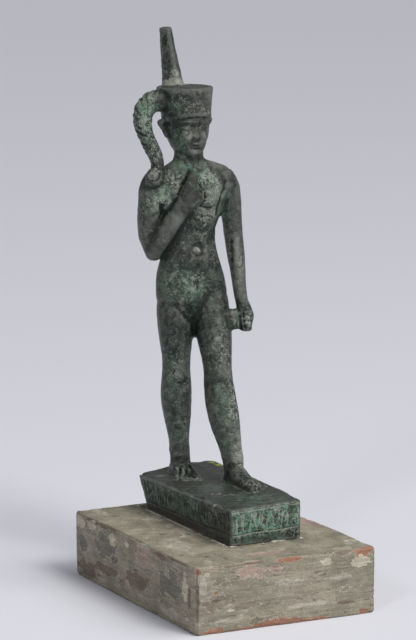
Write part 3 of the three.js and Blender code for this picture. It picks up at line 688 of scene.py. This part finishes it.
def fine_box(low, high, edge, step):
    """A box with rounded edges, cut into an even grid."""
    bm = bmesh.new()
    bmesh.ops.create_cube(bm, size=1)
    size = [high[k] - low[k] for k in range(3)]
    middle = Vector([(high[k] + low[k]) / 2 for k in range(3)])
    bmesh.ops.scale(bm, vec=size, verts=bm.verts)
    bmesh.ops.translate(bm, vec=middle, verts=bm.verts)
    bmesh.ops.bevel(bm, geom=bm.edges[:], offset=edge, offset_type="OFFSET", segments=3,
                    profile=0.5, affect="EDGES", material=-1)
    for k in range(3):
        long = [e for e in bm.edges
                if abs((e.verts[0].co - e.verts[1].co)[k]) > size[k] - 2.5 * edge]
        bmesh.ops.subdivide_edges(bm, edges=long, cuts=round(size[k] / step), use_grid_fill=True)
    under = [f for f in bm.faces if f.normal.z < -0.999 and f.calc_center_median().z < low[2] + 0.01]
    bmesh.ops.dissolve_faces(bm, faces=under)
    return bm


BASE_SIZE = (34.0, 87.0, 15.0)
# Upright corners of a plan, as shares across and along it
CORNERS = ((0, 0), (1, 0), (1, 1), (0, 1))


def round_corners(flat, across, along, size, radii):
    """Rounds the upright corners of a plan in which the shares across and along run from 0 to 1."""
    for (corner_across, corner_along), radius in zip(CORNERS, radii):
        a = np.maximum(radius - np.abs(across - corner_across) * size[0], 0)
        b = np.maximum(radius - np.abs(along - corner_along) * size[1], 0)
        pull = np.where(a * b > 0, 1 - np.maximum(a, b) / np.maximum(np.hypot(a, b), 1e-6), 0)
        flat[:, 0] -= math.copysign(1, corner_across - 0.5) * pull * a
        flat[:, 1] -= math.copysign(1, corner_along - 0.5) * pull * b


def base_form(points):
    """Moves a plain box's points to the base's own plan, round corners and leaning top."""
    across, along, up = (points[:, k] / BASE_SIZE[k] for k in range(3))
    plans = []
    for plan in (BASE_LOW_PLAN, BASE_HIGH_PLAN):
        a, b, c, d = (np.array(p) for p in plan)
        near = a + across[:, None] * (b - a)
        far = d + across[:, None] * (c - d)
        plans.append(near + along[:, None] * (far - near))
    flat = plans[0] + up[:, None] * (plans[1] - plans[0])
    round_corners(flat, across, along, BASE_SIZE, BASE_ROUND)
    top = sole_at(flat[:, 0], flat[:, 1])
    lift = 1.7 * np.exp(-((flat[:, 0] - 9) / 8) ** 2) * rise(flat[:, 1], 45, 55)
    lift += 0.6 * rise(flat[:, 0], 17, 22) * rise(flat[:, 1], -30, -10)
    return np.column_stack([flat, BASE_BOTTOM + up * (top + lift - BASE_BOTTOM)])


def strokes(along, up, length, height, seed, half=0.3):
    """Worn signs cut as a row of short strokes that aren't letters: their depth at a place."""
    rng = np.random.default_rng(seed)
    depth = np.zeros_like(along)
    begin = 1.4
    while begin < length - 2:
        wide = rng.uniform(2.4, 4.2)
        for _ in range(rng.integers(2, 4)):
            low = np.array([begin + rng.uniform(0, wide), rng.uniform(0, 0.6 * height)])
            reach = rng.uniform(0.3, 1.0) * height
            high = low + (rng.normal(0, 0.9), min(reach, height - low[1]))
            way = high - low
            share = ((along - low[0]) * way[0] + (up - low[1]) * way[1]) / max(way @ way, 1e-6)
            share = np.clip(share, 0, 1)
            bow = rng.uniform(-0.6, 0.6) * share * (1 - share) * 4
            off = np.hypot(along - low[0] - share * way[0] - bow, up - low[1] - share * way[1])
            depth = np.maximum(depth, rng.uniform(0.55, 1) * np.exp(-(off / half) ** 2))
        begin += wide + rng.uniform(0.2, 0.9)
    return depth


# Heights of the cut lines below the base's top: the upper line of the frame, and the lower one
FRAME_LINE = 1.45
LOWER_LINE = 11.05
# Sides with signs: axis, direction, axis along it, start, length, seed, depth, width of stroke, pale fill
SIGN_SIDES = (
    (1, -1, 0, -12.2, 33.4, 3, 0.45, 0.40, 1.0),
    (0, -1, 1, -32.1, 88.0, 8, 0.50, 0.46, 0.22),
    (0, 1, 1, -32.1, 88.0, 12, 0.42, 0.40, 0.35),
)
# Rings cut in the base's top: middle and half sizes
TOP_RINGS = ((-3.3, -1.2, 2.0, 1.3), (0.4, -6.1, 2.2, 1.4))


def near_feet(points, feet):
    """1 where the base's top meets the figure's feet, falling off over a millimetre or so."""
    tree = kdtree.KDTree(len(feet))
    for number, foot in enumerate(feet):
        tree.insert(foot, number)
    tree.balance()
    off = np.full(len(points), 9.0)
    for number in np.flatnonzero(points[:, 2] > SOLE_HEIGHT - 1.5):
        off[number] = tree.find(points[number])[2]
    return np.exp(-(off / 1.1) ** 2)


def carve_base(mesh, feet):
    """Cuts the lines and signs, wears the edges and gives the values for the pale fill."""
    points, normals = read_points(mesh), read_normals(mesh)
    down = sole_at(points[:, 0], points[:, 1]) - points[:, 2]
    wander = 0.35 * grain(points, 9, 3.0)
    push = 0.10 * grain(points, 14, 1.0)
    fill = np.zeros(len(points))
    for axis, sign, run, start, length, seed, deep, half, pale in SIGN_SIDES:
        on = rise(sign * normals[:, axis], 0.8, 0.95)
        along = points[:, run] - start
        cut = np.exp(-((down - FRAME_LINE + 0.5 * wander) / 0.3) ** 2)
        cut += np.exp(-((down - LOWER_LINE + wander) / 0.34) ** 2)
        signs = strokes(along, LOWER_LINE - 0.7 - down, length, 8.2, seed, half)
        signs *= rise(down, FRAME_LINE + 0.5, FRAME_LINE + 0.9)
        push -= on * (0.28 * cut + deep * signs)
        fill = np.maximum(fill, on * pale * np.clip(0.9 * cut + 1.1 * signs, 0, 1))
    low = np.column_stack([points[:, 0] - BASE_LOW_PLAN[0][0], points[:, 1] - BASE_LOW_PLAN[0][1]])
    edge = np.maximum(np.abs(down), np.minimum(np.abs(low[:, 0]), np.abs(low[:, 1])))
    push -= 0.55 * np.exp(-(edge / 1.3) ** 2) * rise(grain(points, 5, 4.0), -0.35, 0.5)
    upward = rise(normals[:, 2], 0.7, 0.9)
    for x, y, half_x, half_y in TOP_RINGS:
        ring = np.hypot((points[:, 0] - x) / half_x, (points[:, 1] - y) / half_y)
        line = upward * np.exp(-((ring - 1) / 0.2) ** 2)
        push -= 0.16 * line
        fill = np.maximum(fill, 0.8 * line)
    fill = np.maximum(fill, 0.62 * upward * near_feet(points, feet))
    fill = np.maximum(fill, 0.55 * upward * spot(points, (-7.4, 44, 43), (5, 3.5, 3)))
    fill = np.maximum(fill, spot(points, (-12.6, -17.8, 42.7), (1.4, 1.6, 1.1)))
    fill = np.maximum(fill, 0.5 * rise(1.3 - (points[:, 2] - BASE_BOTTOM), 0, 1.0))
    points = points + normals * push[:, None]
    write_points(mesh, points)
    return fill


def make_base(feet):
    mesh = mesh_of(fine_box((0, 0, 0), BASE_SIZE, BASE_EDGE, BASE_STEP), "cast_base")
    write_points(mesh, base_form(read_points(mesh)))
    fill = carve_base(mesh, feet)
    normals = read_normals(mesh)
    front, left = rise(-normals[:, 1], 0.5, 0.9), rise(-normals[:, 0], 0.5, 0.9)
    crust = 0.45 * front + 0.35 * left + 0.2 * (1 - front) * (1 - left)
    points = weather_bronze(mesh, read_edges(mesh), crust, fill)
    down = sole_at(points[:, 0], points[:, 1]) - points[:, 2]
    upper = rise(LOWER_LINE + 0.5 - down, 0, 1.5)
    green = 1.0 * front * (0.3 + 0.7 * upper) + 0.3 * left * upper * rise(points[:, 1], -22, 4)
    write_value(mesh, "green", np.maximum(green, strongest(points, BASE_GREEN)))
    upward = rise(normals[:, 2], 0.6, 0.9)
    write_value(mesh, "smooth", np.maximum(strongest(points, BASE_SMOOTH), 0.62 * upward))
    write_value(mesh, "yellow", strongest(points, YELLOW_DAB))
    return mesh


BASE_GREEN = (
    ((6, -18, 43.4), (12, 14, 4), 0.42),
    ((2, 12, 43.4), (10, 12, 4), 0.25),
    ((25, 10, 36), (4, 30, 8), 0.5),
)
BASE_SMOOTH = (
    ((-10, 20, 42.4), (4, 50, 1.7), 0.8),
    ((-11, -24, 33), (4, 11, 4.5), 0.7),
    ((8, 46, 43), (16, 12, 4), 0.7),
    ((-12, 20, 31), (4, 50, 3.6), 0.85),
    ((4, -32, 29.6), (18, 3, 2.2), 0.8),
)
YELLOW_DAB = (
    ((22.1, 52.9, 43.5), (2.1, 2.7, 2.5), 1.0),
    ((22.7, 46.6, 43.5), (1.8, 2.7, 2.5), 1.0),
)


# ---- block of wood

# Sides of the block: axis and direction they face, and the axes along and up them
BLOCK_SIDES = {
    "left": (0, -1, 1, 2), "right": (0, 1, 1, 2), "front": (1, -1, 0, 2), "back": (1, 1, 0, 2), "top": (2, 1, 0, 1),
}
# Marks on the paint, by kind: side, middle along and up it, half sizes
PAINT_MARKS = {
    "cream": (
        ("front", 33.6, 22.2, 5.0, 2.7), ("front", -25.9, 9.0, 1.8, 1.0), ("front", 18.5, 23.9, 2.8, 1.6),
        ("front", -36.0, 25.2, 1.4, 1.0), ("left", 53.1, 24.3, 4.0, 3.3), ("left", 40.8, 25.1, 4.6, 2.6),
        ("left", 20.9, 23.5, 3.3, 2.6), ("left", 6.9, 24.0, 2.5, 1.5), ("left", -48.1, 18.0, 2.2, 6.4),
        ("left", -50.3, 5.4, 1.4, 0.8), ("top", -36.2, -1.2, 1.6, 1.0), ("top", -21.4, -6.4, 1.6, 1.0),
        ("top", -26.2, 11.9, 0.9, 0.9), ("top", -36.1, -27.9, 1.0, 1.0), ("top", -25.2, 57.0, 2.0, 0.8),
        ("top", 36.9, -44.3, 2.4, 1.4), ("right", 30.0, 21.0, 5.0, 3.0), ("right", -28.0, 9.0, 4.0, 2.0),
        ("back", 12.0, 20.0, 5.0, 3.0), ("back", -25.0, 8.0, 3.0, 2.0), ("top", 34.0, 30.0, 2.6, 2.0),
    ),
    "orange": (
        ("front", 35.6, 26.8, 4.8, 2.0), ("front", 0.8, 27.6, 7.2, 1.6), ("front", -40.5, 26.7, 1.2, 1.6),
        ("front", -33.4, 1.0, 5.5, 1.8), ("front", -3.7, 1.2, 11.0, 2.1), ("front", 13.5, 0.5, 8.0, 1.2),
        ("front", 35.5, 1.0, 3.0, 1.6), ("front", -32.4, 17.0, 1.3, 0.8), ("front", -19.0, 0.3, 13.0, 1.0), ("top", 37.5, -57.6, 4.0, 1.0),
        ("right", -50.0, 26.5, 6.0, 2.0), ("right", 20.0, 0.5, 12.0, 1.6), ("right", 48.0, 14.0, 2.5, 4.0),
        ("back", 38.0, 5.0, 2.5, 4.0), ("back", -8.0, 27.2, 9.0, 1.6),
    ),
    "pink": (
        ("front", -16.3, 24.2, 7.4, 2.8), ("front", -5.8, 23.7, 3.4, 1.7), ("front", -33.3, 27.4, 1.8, 1.2),
        ("left", -10.5, 22.7, 7.2, 4.6), ("top", 38.8, -6.5, 3.4, 12.0), ("top", -6.0, -48.0, 12.0, 3.0),
        ("right", 0.0, 17.0, 8.0, 4.0), ("back", 28.0, 22.0, 6.0, 3.5),
    ),
    "brown": (
        ("left", 46.9, 4.5, 10.4, 3.6), ("left", -25.2, 26.3, 5.7, 1.6), ("left", -3.8, 10.8, 11.9, 3.9),
        ("left", -51.7, 13.3, 1.6, 5.2), ("left", 26.5, 8.7, 13.2, 2.6), ("left", 33.0, 27.2, 20.0, 0.9),
        ("left", -40.0, 27.3, 14.0, 0.7), ("front", -40.9, 14.0, 1.0, 12.0), ("front", -22.0, 27.5, 12.0, 0.6),
        ("front", -32.0, 13.5, 3.5, 0.8), ("front", 28.0, 6.0, 6.0, 0.8), ("top", -22.2, 41.7, 1.6, 1.2), ("top", -40.4, 10.0, 0.8, 26.0),
        ("right", 30.0, 8.0, 12.0, 3.0), ("right", -30.0, 20.0, 9.0, 3.0), ("back", 0.0, 9.0, 14.0, 3.0),
    ),
    "slate": (
        ("left", -33.4, 16.4, 11.2, 6.9), ("left", 28.3, 18.1, 12.2, 5.3), ("left", 50.0, 15.0, 5.0, 4.0),
        ("right", 12.0, 24.0, 12.0, 3.0), ("back", -30.0, 20.0, 9.0, 5.0),
    ),
    "light": (
        ("left", -31.6, 20.4, 2.8, 2.5), ("left", -32.4, 4.6, 9.0, 2.3), ("left", -10.5, 27.0, 6.0, 1.0),
        ("front", -38.3, 19.6, 1.8, 4.7), ("front", 24.0, 17.0, 7.0, 1.3), ("front", 0.0, 18.0, 8.0, 1.2),
        ("front", 10.0, 7.0, 9.0, 1.3), ("front", -28.0, 4.5, 7.0, 1.1), ("top", -30.0, -20.0, 6.0, 9.0),
        ("right", -10.0, 5.0, 10.0, 2.0), ("back", 20.0, 6.0, 9.0, 1.6),
    ),
}
# How far each kind of mark stands out
MARK_HEIGHTS = {"cream": 0.14, "orange": -0.22, "pink": -0.12, "brown": -0.14, "slate": 0.05, "light": 0.06}


def away_from_base(x, y):
    """Distance outside the base's foot on the block."""
    foot = [np.array(p) for p in BASE_LOW_PLAN]
    off = []
    for start, end in zip(foot, foot[1:] + foot[:1]):
        way = (end - start) / np.linalg.norm(end - start)
        off.append((x - start[0]) * way[1] - (y - start[1]) * way[0])
    return np.max(off, axis=0)


def block_mark(points, normals, marks, ragged):
    """Share of one kind of mark at each point."""
    field = np.full(len(points), -1.0)
    for side, along, up, half_along, half_up in marks:
        facing, sign, first, second = BLOCK_SIDES[side]
        off = np.hypot((points[:, first] - along) / half_along, (points[:, second] - up) / half_up)
        on = rise(sign * normals[:, facing], 0.25, 0.6)
        field = np.maximum(field, (2 - off) * on - 1)
    return rise(field + ragged, 0, 0.15)


def weather_block(mesh):
    """Worn edges, lost and lifted paint, and dried plaster round the bronze."""
    points, normals = read_points(mesh), read_normals(mesh)
    low, high = np.array(BLOCK_LOW), np.array(BLOCK_HIGH)
    size = high - low
    across, along = ((points[:, k] - low[k]) / size[k] for k in range(2))
    round_corners(points, across, along, size, BLOCK_CORNERS)
    write_points(mesh, points)
    normals = read_normals(mesh)
    upright = rise(0.75 - normals[:, 2], 0, 0.3)
    ragged = 0.5 * grain(points, 3.0, 2.0, (1.6, 1.6, 0.8)) + 0.35 * grain(points, 1.2, 3.0, (1.4, 1.4, 0.8))
    push = 0.16 * grain(points, 26, 7.0) + 0.07 * grain(points, 6, 8.0) + 0.035 * grain(points, 1.3, 4.0)
    push += 0.07 * upright * grain(points, 1.0, 6.0, (12, 12, 0.9))
    for kind, marks in PAINT_MARKS.items():
        mark = block_mark(points, normals, marks, ragged)
        push += MARK_HEIGHTS[kind] * mark
        write_value(mesh, kind, mark)
    flaky = grain(points, 7, 1.0, (1.8, 1.8, 0.7)) + 0.8 * ragged
    flaked = rise(flaky, 0.42, 0.50) * (0.35 + 0.65 * upright)
    push -= 0.12 * flaked
    write_value(mesh, "flaked", flaked)
    gap = np.sort(np.minimum(points - low, high - points), axis=1)[:, 1]
    worn = rise(ragged + 0.5 * flaky - gap / 1.6, -0.3, 0.1)
    push -= 0.30 * worn
    write_value(mesh, "worn", worn)
    push -= 0.3 * rise(0.14 - cells(points, 7, 2.0), 0, 0.1)
    away = away_from_base(points[:, 0], points[:, 1])
    on_top = rise(normals[:, 2], 0.8, 0.95)
    near_left = rise(-points[:, 0] - 8, 0, 3) * rise(points[:, 1], -34, -28)
    bead = near_left * np.exp(-((away - 1.7) / 0.6) ** 2) * rise(ragged, -0.5, 0.1)
    crumbs = (1 - near_left) * np.exp(-(np.maximum(away, 0) / 1.1) ** 2) * rise(ragged, -0.25, 0.15)
    crumbs *= (away > -0.6) * rise(-points[:, 1], -20, 10)
    plaster = on_top * np.clip(bead + crumbs, 0, 1)
    push += plaster * (0.55 + 0.3 * ragged)
    write_value(mesh, "plaster", plaster)
    # Darker in the groove and round the base's foot on the block's top
    groove = on_top * near_left * np.exp(-((away - 0.7) / 0.45) ** 2)
    push -= 0.25 * groove
    write_value(mesh, "darker_round_base", np.clip(groove + 0.5 * on_top * np.exp(-(np.maximum(away, 0) / 2.2) ** 2), 0, 1))
    points = points + normals * push[:, None]
    write_points(mesh, points)


# ---- materials

class Finish:
    """A material that is built up node by node."""

    def __init__(self, name):
        self.material = bpy.data.materials.new(name)
        self.material.use_nodes = True
        self.tree = self.material.node_tree
        self.shader = self.tree.nodes["Principled BSDF"]
        self.place = self.tree.nodes.new("ShaderNodeTexCoord").outputs["Object"]

    def set(self, **sockets):
        for name, value in sockets.items():
            self.shader.inputs[name.replace("_", " ")].default_value = value

    def join(self, value, socket):
        if isinstance(value, bpy.types.NodeSocket):
            self.tree.links.new(value, socket)
        else:
            socket.default_value = value

    def stretch(self, scale, turn=(0, 0, 0)):
        node = self.tree.nodes.new("ShaderNodeMapping")
        self.join(self.place, node.inputs["Vector"])
        node.inputs["Scale"].default_value = scale
        node.inputs["Rotation"].default_value = turn
        return node.outputs[0]

    def noise(self, size, detail=4.0, rough=0.6, warp=0.0, place=None):
        """Noise with features of about the given size in millimetres."""
        node = self.tree.nodes.new("ShaderNodeTexNoise")
        self.join(place or self.place, node.inputs["Vector"])
        node.inputs["Scale"].default_value = 1 / (size * MM)
        node.inputs["Detail"].default_value = detail
        node.inputs["Roughness"].default_value = rough
        node.inputs["Distortion"].default_value = warp
        return node.outputs["Fac"]

    def cells(self, size, place=None):
        node = self.tree.nodes.new("ShaderNodeTexVoronoi")
        self.join(place or self.place, node.inputs["Vector"])
        node.inputs["Scale"].default_value = 1 / (size * MM)
        return node.outputs["Distance"]

    def value(self, name):
        node = self.tree.nodes.new("ShaderNodeAttribute")
        node.attribute_name = name
        return node.outputs["Fac"]

    def sums(self, kind, a, b=0.0, c=0.0):
        node = self.tree.nodes.new("ShaderNodeMath")
        node.operation = kind
        for value, socket in zip((a, b, c), node.inputs):
            self.join(value, socket)
        return node.outputs[0]

    def between(self, value, low, high, start=0.0, end=1.0):
        node = self.tree.nodes.new("ShaderNodeMapRange")
        node.interpolation_type = "SMOOTHSTEP"
        self.join(value, node.inputs["Value"])
        for name, number in (("From Min", low), ("From Max", high), ("To Min", start), ("To Max", end)):
            node.inputs[name].default_value = number
        return node.outputs["Result"]

    def blend(self, share, under, over):
        node = self.tree.nodes.new("ShaderNodeMix")
        node.data_type = "RGBA"
        self.join(share, node.inputs["Factor"])
        for value, socket in ((under, node.inputs[6]), (over, node.inputs[7])):
            if isinstance(value, tuple):
                value = (*value, 1.0)
            self.join(value, socket)
        return node.outputs[2]

    def shaded(self, colour, amount):
        """The colour made lighter or darker by a number around 1."""
        node = self.tree.nodes.new("ShaderNodeVectorMath")
        node.operation = "SCALE"
        self.join(colour, node.inputs[0])
        self.join(amount, node.inputs["Scale"])
        return node.outputs[0]

    def bump(self, height, deep, strength=1.0, before=None):
        node = self.tree.nodes.new("ShaderNodeBump")
        node.inputs["Distance"].default_value = deep * MM
        node.inputs["Strength"].default_value = strength
        self.join(height, node.inputs["Height"])
        if before is not None:
            self.join(before, node.inputs["Normal"])
        return node.outputs[0]


def bronze_finish():
    """Nearly black green patina with grey-green grains, rubbed crests with painted highlights, and pale dirt."""
    f = Finish("old_bronze")
    f.set(Metallic=0.0, Specular_IOR_Level=0.30)
    broad = f.noise(14, 4, 0.55, 0.5)
    middling = f.noise(4.6, 5, 0.65, 0.6)
    mottled = f.noise(2.3, 8, 0.78, 0.5)
    specks = f.noise(0.75, 4, 0.7, 0.2)
    pitting = f.noise(1.25, 5, 0.7, 0.8)
    relief, crust, green, smooth = (f.value(name) for name in ("relief", "crust", "green", "smooth"))
    bare = f.between(smooth, 0.1, 0.9, 1, 0)
    colour = f.blend(f.between(broad, 0.40, 0.60), (0.006, 0.014, 0.010), (0.017, 0.017, 0.015))
    colour = f.blend(f.between(smooth, 0.2, 0.8, 0, 0.9), colour, (0.046, 0.041, 0.037))
    colour = f.blend(f.between(middling, 0.46, 0.60, 0, 0.85), colour, (0.048, 0.058, 0.049))
    crusty = f.between(crust, 0.0, 0.9, 0.42, 1.0)
    greyed = f.between(f.sums("ADD", mottled, f.sums("MULTIPLY", crust, 0.075)), 0.54, 0.62)
    colour = f.blend(f.sums("MULTIPLY", f.sums("MULTIPLY", greyed, crusty), bare), colour, (0.235, 0.252, 0.215))
    patch = f.sums("MULTIPLY", green, f.between(middling, 0.40, 0.58, 0.3, 1.0))
    patch = f.sums("MULTIPLY", patch, f.between(mottled, 0.36, 0.58))
    colour = f.blend(patch, colour, (0.150, 0.290, 0.200))
    grains = f.sums("ADD", specks, f.sums("MULTIPLY", crust, 0.11))
    grainy = f.sums("MULTIPLY", f.between(grains, 0.58, 0.70), f.sums("MULTIPLY", crusty, bare))
    colour = f.blend(grainy, colour, (0.38, 0.405, 0.355))
    crests = f.between(relief, 0.1, 0.8, 0, 0.42)
    colour = f.blend(crests, colour, (0.17, 0.175, 0.155))
    # Rubbed crests made lighter, partly as painted highlights
    wear_and_highlight = f.sums("MULTIPLY", f.value("wear_and_highlight"), f.between(mottled, 0.36, 0.56, 0.35, 0.9))
    colour = f.blend(wear_and_highlight, colour, (0.260, 0.272, 0.240))
    pits = f.between(f.sums("ADD", pitting, f.sums("MULTIPLY", relief, 0.06)), 0.46, 0.40)
    colour = f.blend(f.sums("MULTIPLY", pits, f.between(crusty, 0.0, 1.0, 0.55, 0.85)), colour, (0.005, 0.008, 0.006))
    deep = f.between(relief, -0.75, -0.1, 0.9, 0)
    colour = f.blend(deep, colour, (0.005, 0.009, 0.007))
    dirt = f.between(f.sums("ADD", f.value("pale"), f.between(specks, 0.3, 0.7, -0.25, 0.25)), 0.3, 0.7)
    colour = f.blend(f.sums("MULTIPLY", dirt, 0.8), colour, (0.33, 0.35, 0.30))
    dab = f.between(f.sums("ADD", f.value("yellow"), f.between(mottled, 0.3, 0.7, -0.5, 0.5)), 0.45, 0.65)
    colour = f.blend(dab, colour, (0.24, 0.25, 0.03))
    f.join(colour, f.shader.inputs["Base Color"])
    dull = f.sums("ADD", f.sums("MULTIPLY", crust, 0.35), f.between(mottled, 0.35, 0.65, 0, 0.25))
    dull = f.sums("SUBTRACT", dull, f.sums("MULTIPLY", f.value("wear_and_highlight"), 0.2))
    f.join(f.between(dull, 0.0, 0.6, 0.26, 0.58), f.shader.inputs["Roughness"])
    coarse = f.between(smooth, 0.1, 0.9, 1.0, 0.3)
    fine = f.bump(f.sums("MULTIPLY", specks, coarse), 0.15, 1.0)
    rough = f.bump(f.sums("MULTIPLY", pitting, coarse), 0.40, 1.0, fine)
    f.join(f.bump(f.sums("MULTIPLY", mottled, coarse), 0.35, 0.9, rough), f.shader.inputs["Normal"])
    return f.material


def paint_finish():
    """Grey-olive paint, rubbed and flaking, over reddish wood."""
    f = Finish("flaking_paint")
    f.set(Metallic=0.0, Specular_IOR_Level=0.25)
    lying = f.stretch((0.08, 0.08, 1.0))
    broad = f.noise(17, 5, 0.6, 0.5)
    streak = f.noise(1.0, 6, 0.7, 0.3, lying)
    mottled = f.noise(4.5, 7, 0.72, 0.5)
    fine = f.noise(0.8, 4, 0.7)
    rag = f.between(fine, 0.25, 0.75, -0.4, 0.4)
    colour = f.blend(f.between(broad, 0.36, 0.64), (0.256, 0.237, 0.181), (0.340, 0.303, 0.236))
    for name, share, rim, paint in PAINT_LAYERS:
        field = f.sums("ADD", f.value(name), rag)
        # A pale painted highlight along the lifted edge of each patch
        if rim:
            glint_border = f.sums("MULTIPLY", f.between(field, 0.05, 0.30), f.between(field, 0.55, 0.85, 1, 0))
            glint_border = f.sums("MULTIPLY", glint_border, f.between(f.value(name), 0.02, 0.15))
            colour = f.blend(f.sums("MULTIPLY", glint_border, rim), colour, (0.50, 0.46, 0.38))
        colour = f.blend(f.between(field, 0.38, 0.62, 0, share), colour, paint)
    colour = f.shaded(colour, f.between(streak, 0.34, 0.66, 1.15, 0.78))
    colour = f.shaded(colour, f.between(mottled, 0.34, 0.66, 0.86, 1.10))
    colour = f.shaded(colour, f.between(fine, 0.30, 0.70, 0.84, 1.11))
    # Darker in the groove and round the base's foot
    colour = f.blend(f.sums("MULTIPLY", f.value("darker_round_base"), 0.75), colour, (0.075, 0.066, 0.052))
    plaster = f.between(f.sums("ADD", f.value("plaster"), rag), 0.35, 0.6, 0, 0.9)
    colour = f.blend(plaster, colour, (0.600, 0.575, 0.490))
    flecks = f.between(f.noise(1.2, 3, 0.6), 0.65, 0.71, 0, 0.85)
    colour = f.blend(flecks, colour, (0.54, 0.49, 0.40))
    cracks = f.between(f.noise(0.9, 2, 0.6, 0.8, f.stretch((0.25, 0.25, 1.0))), 0.37, 0.31, 0, 0.65)
    colour = f.blend(cracks, colour, (0.085, 0.066, 0.048))
    f.join(colour, f.shader.inputs["Base Color"])
    f.join(f.between(mottled, 0.3, 0.7, 0.65, 0.9), f.shader.inputs["Roughness"])
    lines = f.bump(streak, 0.22, 0.9, f.bump(fine, 0.10, 0.9))
    f.join(f.bump(mottled, 0.25, 0.6, lines), f.shader.inputs["Normal"])
    return f.material


# Layers of the paint from below: name, share, strength of the painted highlight on its rim, colour
PAINT_LAYERS = (
    ("flaked", 0.75, 0.70, (0.225, 0.186, 0.142)),
    ("slate", 0.80, 0.60, (0.168, 0.162, 0.138)),
    ("pink", 0.75, 0.70, (0.400, 0.285, 0.240)),
    ("light", 0.60, 0.0, (0.440, 0.410, 0.345)),
    ("brown", 0.70, 0.30, (0.150, 0.110, 0.080)),
    ("worn", 0.70, 0.0, (0.170, 0.120, 0.085)),
    ("orange", 0.90, 0.45, (0.335, 0.165, 0.105)),
    ("cream", 0.90, 0.0, (0.540, 0.490, 0.385)),
)


def plain_finish(name, colour, rough):
    f = Finish(name)
    f.set(Roughness=rough, Specular_IOR_Level=0.2)
    f.shader.inputs["Base Color"].default_value = (*colour, 1)
    return f.material


# ---- build

bronze = bronze_finish()

figure_mesh, figure_edges = sculpt_figure()
start_points = read_points(figure_mesh)
figure_pale = np.maximum(strongest(start_points, FIGURE_PALE), 0.45 * rise(44.9 - start_points[:, 2], 0, 0.9))
figure_points = weather_bronze(figure_mesh, figure_edges, strongest(start_points, FIGURE_CRUST), figure_pale)
write_value(figure_mesh, "green", strongest(figure_points, FIGURE_GREEN))
write_value(figure_mesh, "smooth", strongest(figure_points, FIGURE_SMOOTH))
# Rubbed places, partly painted highlights
write_value(figure_mesh, "wear_and_highlight", np.maximum(strongest(figure_points, FIGURE_WEAR_AND_HIGHLIGHT),
                                               lined(start_points, WEAR_AND_HIGHLIGHT_LINES)))
figure_mesh.materials.append(bronze)
figure_mesh.shade_smooth()
place("bronze_figure", figure_mesh, "bronze", "bronze_statuette")

base_mesh = make_base(figure_points[figure_points[:, 2] < SOLE_HEIGHT + 1.5])
base_mesh.materials.append(bronze)
base_mesh.shade_smooth()
place("cast_base", base_mesh, "bronze", "bronze_statuette")

block_mesh = mesh_of(fine_box(BLOCK_LOW, BLOCK_HIGH, BLOCK_EDGE, BLOCK_STEP), "painted_block")
weather_block(block_mesh)
block_mesh.materials.append(paint_finish())
block_mesh.shade_smooth()
place("painted_block", block_mesh, "painted_wood", "wooden_plinth")

# ---- floor, light and camera

FLOOR_HALF = 15.0
FLOOR_COLOUR = (0.70, 0.705, 0.765)
ROOM_LIGHT = 0.27
ROOM_COLOUR = (0.92, 0.95, 1.0)
# Name, kind, azimuth from the figure's front towards its left, elevation, metres away, size, power, colour.
# A sun's size is its angle and its power is per square metre; an area lamp's are metres and watts.
LAMPS = (
    ("window", "SUN", 48, 52, 3.0, math.radians(50), 1.62, (1.0, 0.985, 0.96)),
    ("front_lamp", "AREA", 16, 46, 2.2, 0.8, 20.0, (1.0, 0.985, 0.96)),
    ("left_lamp", "AREA", -52, 34, 2.0, 0.35, 5.0, (1.0, 0.99, 0.97)),
)


def studio():
    floor_bm = bmesh.new()
    bmesh.ops.create_grid(floor_bm, x_segments=1, y_segments=1, size=FLOOR_HALF)
    mesh = bpy.data.meshes.new("floor")
    floor_bm.to_mesh(mesh)
    floor_bm.free()
    mesh.materials.append(plain_finish("pale_floor", FLOOR_COLOUR, 0.9))
    floor = bpy.data.objects.new("floor", mesh)
    bpy.context.scene.collection.objects.link(floor)

    world = bpy.data.worlds.new("studio")
    bpy.context.scene.world = world
    world.use_nodes = True
    world.node_tree.nodes["Background"].inputs[0].default_value = (*ROOM_COLOUR, 1)
    world.node_tree.nodes["Background"].inputs[1].default_value = ROOM_LIGHT

    for name, kind, azimuth, elevation, away, size, power, colour in LAMPS:
        lamp = bpy.data.lights.new(name, kind)
        if kind == "SUN":
            lamp.angle = size
        else:
            lamp.size = size
        lamp.energy = power
        lamp.color = colour
        turn, lift = math.radians(azimuth), math.radians(elevation)
        at = Vector((math.sin(turn) * math.cos(lift), -math.cos(turn) * math.cos(lift), math.sin(lift)))
        lamp_object = bpy.data.objects.new(name, lamp)
        lamp_object.location = at * away
        lamp_object.rotation_mode = "QUATERNION"
        lamp_object.rotation_quaternion = (-at).to_track_quat("-Z", "Y")
        bpy.context.scene.collection.objects.link(lamp_object)


studio()

# Camera: the photograph's view, from the figure's right front and a little above
CAMERA_AZIMUTH = math.radians(-26.738)
CAMERA_ELEVATION = math.radians(9.685)
CAMERA_ROLL = math.radians(-0.186)
CAMERA_AWAY = 1.3808
CAMERA_ASIDE = -0.005884
CAMERA_UP = 0.115374
CAMERA_LENS = 183.54

a, e = CAMERA_AZIMUTH, CAMERA_ELEVATION
behind = Vector((math.sin(a) * math.cos(e), -math.cos(a) * math.cos(e), math.sin(e)))
right = Vector((math.cos(a), math.sin(a), 0))
up = behind.cross(right)
turn = Matrix.Rotation(CAMERA_ROLL, 3, behind)
right, up = turn @ right, turn @ up
camera_data = bpy.data.cameras.new("camera")
camera_data.lens = CAMERA_LENS
camera_data.sensor_width = 36
camera = bpy.data.objects.new("camera", camera_data)
spin = Matrix((right, up, behind)).transposed()
camera.matrix_world = Matrix.Translation(behind * CAMERA_AWAY + right * CAMERA_ASIDE + up * CAMERA_UP) @ spin.to_4x4()
bpy.context.scene.collection.objects.link(camera)
bpy.context.scene.camera = camera
bpy.context.scene.view_settings.view_transform = "Standard"
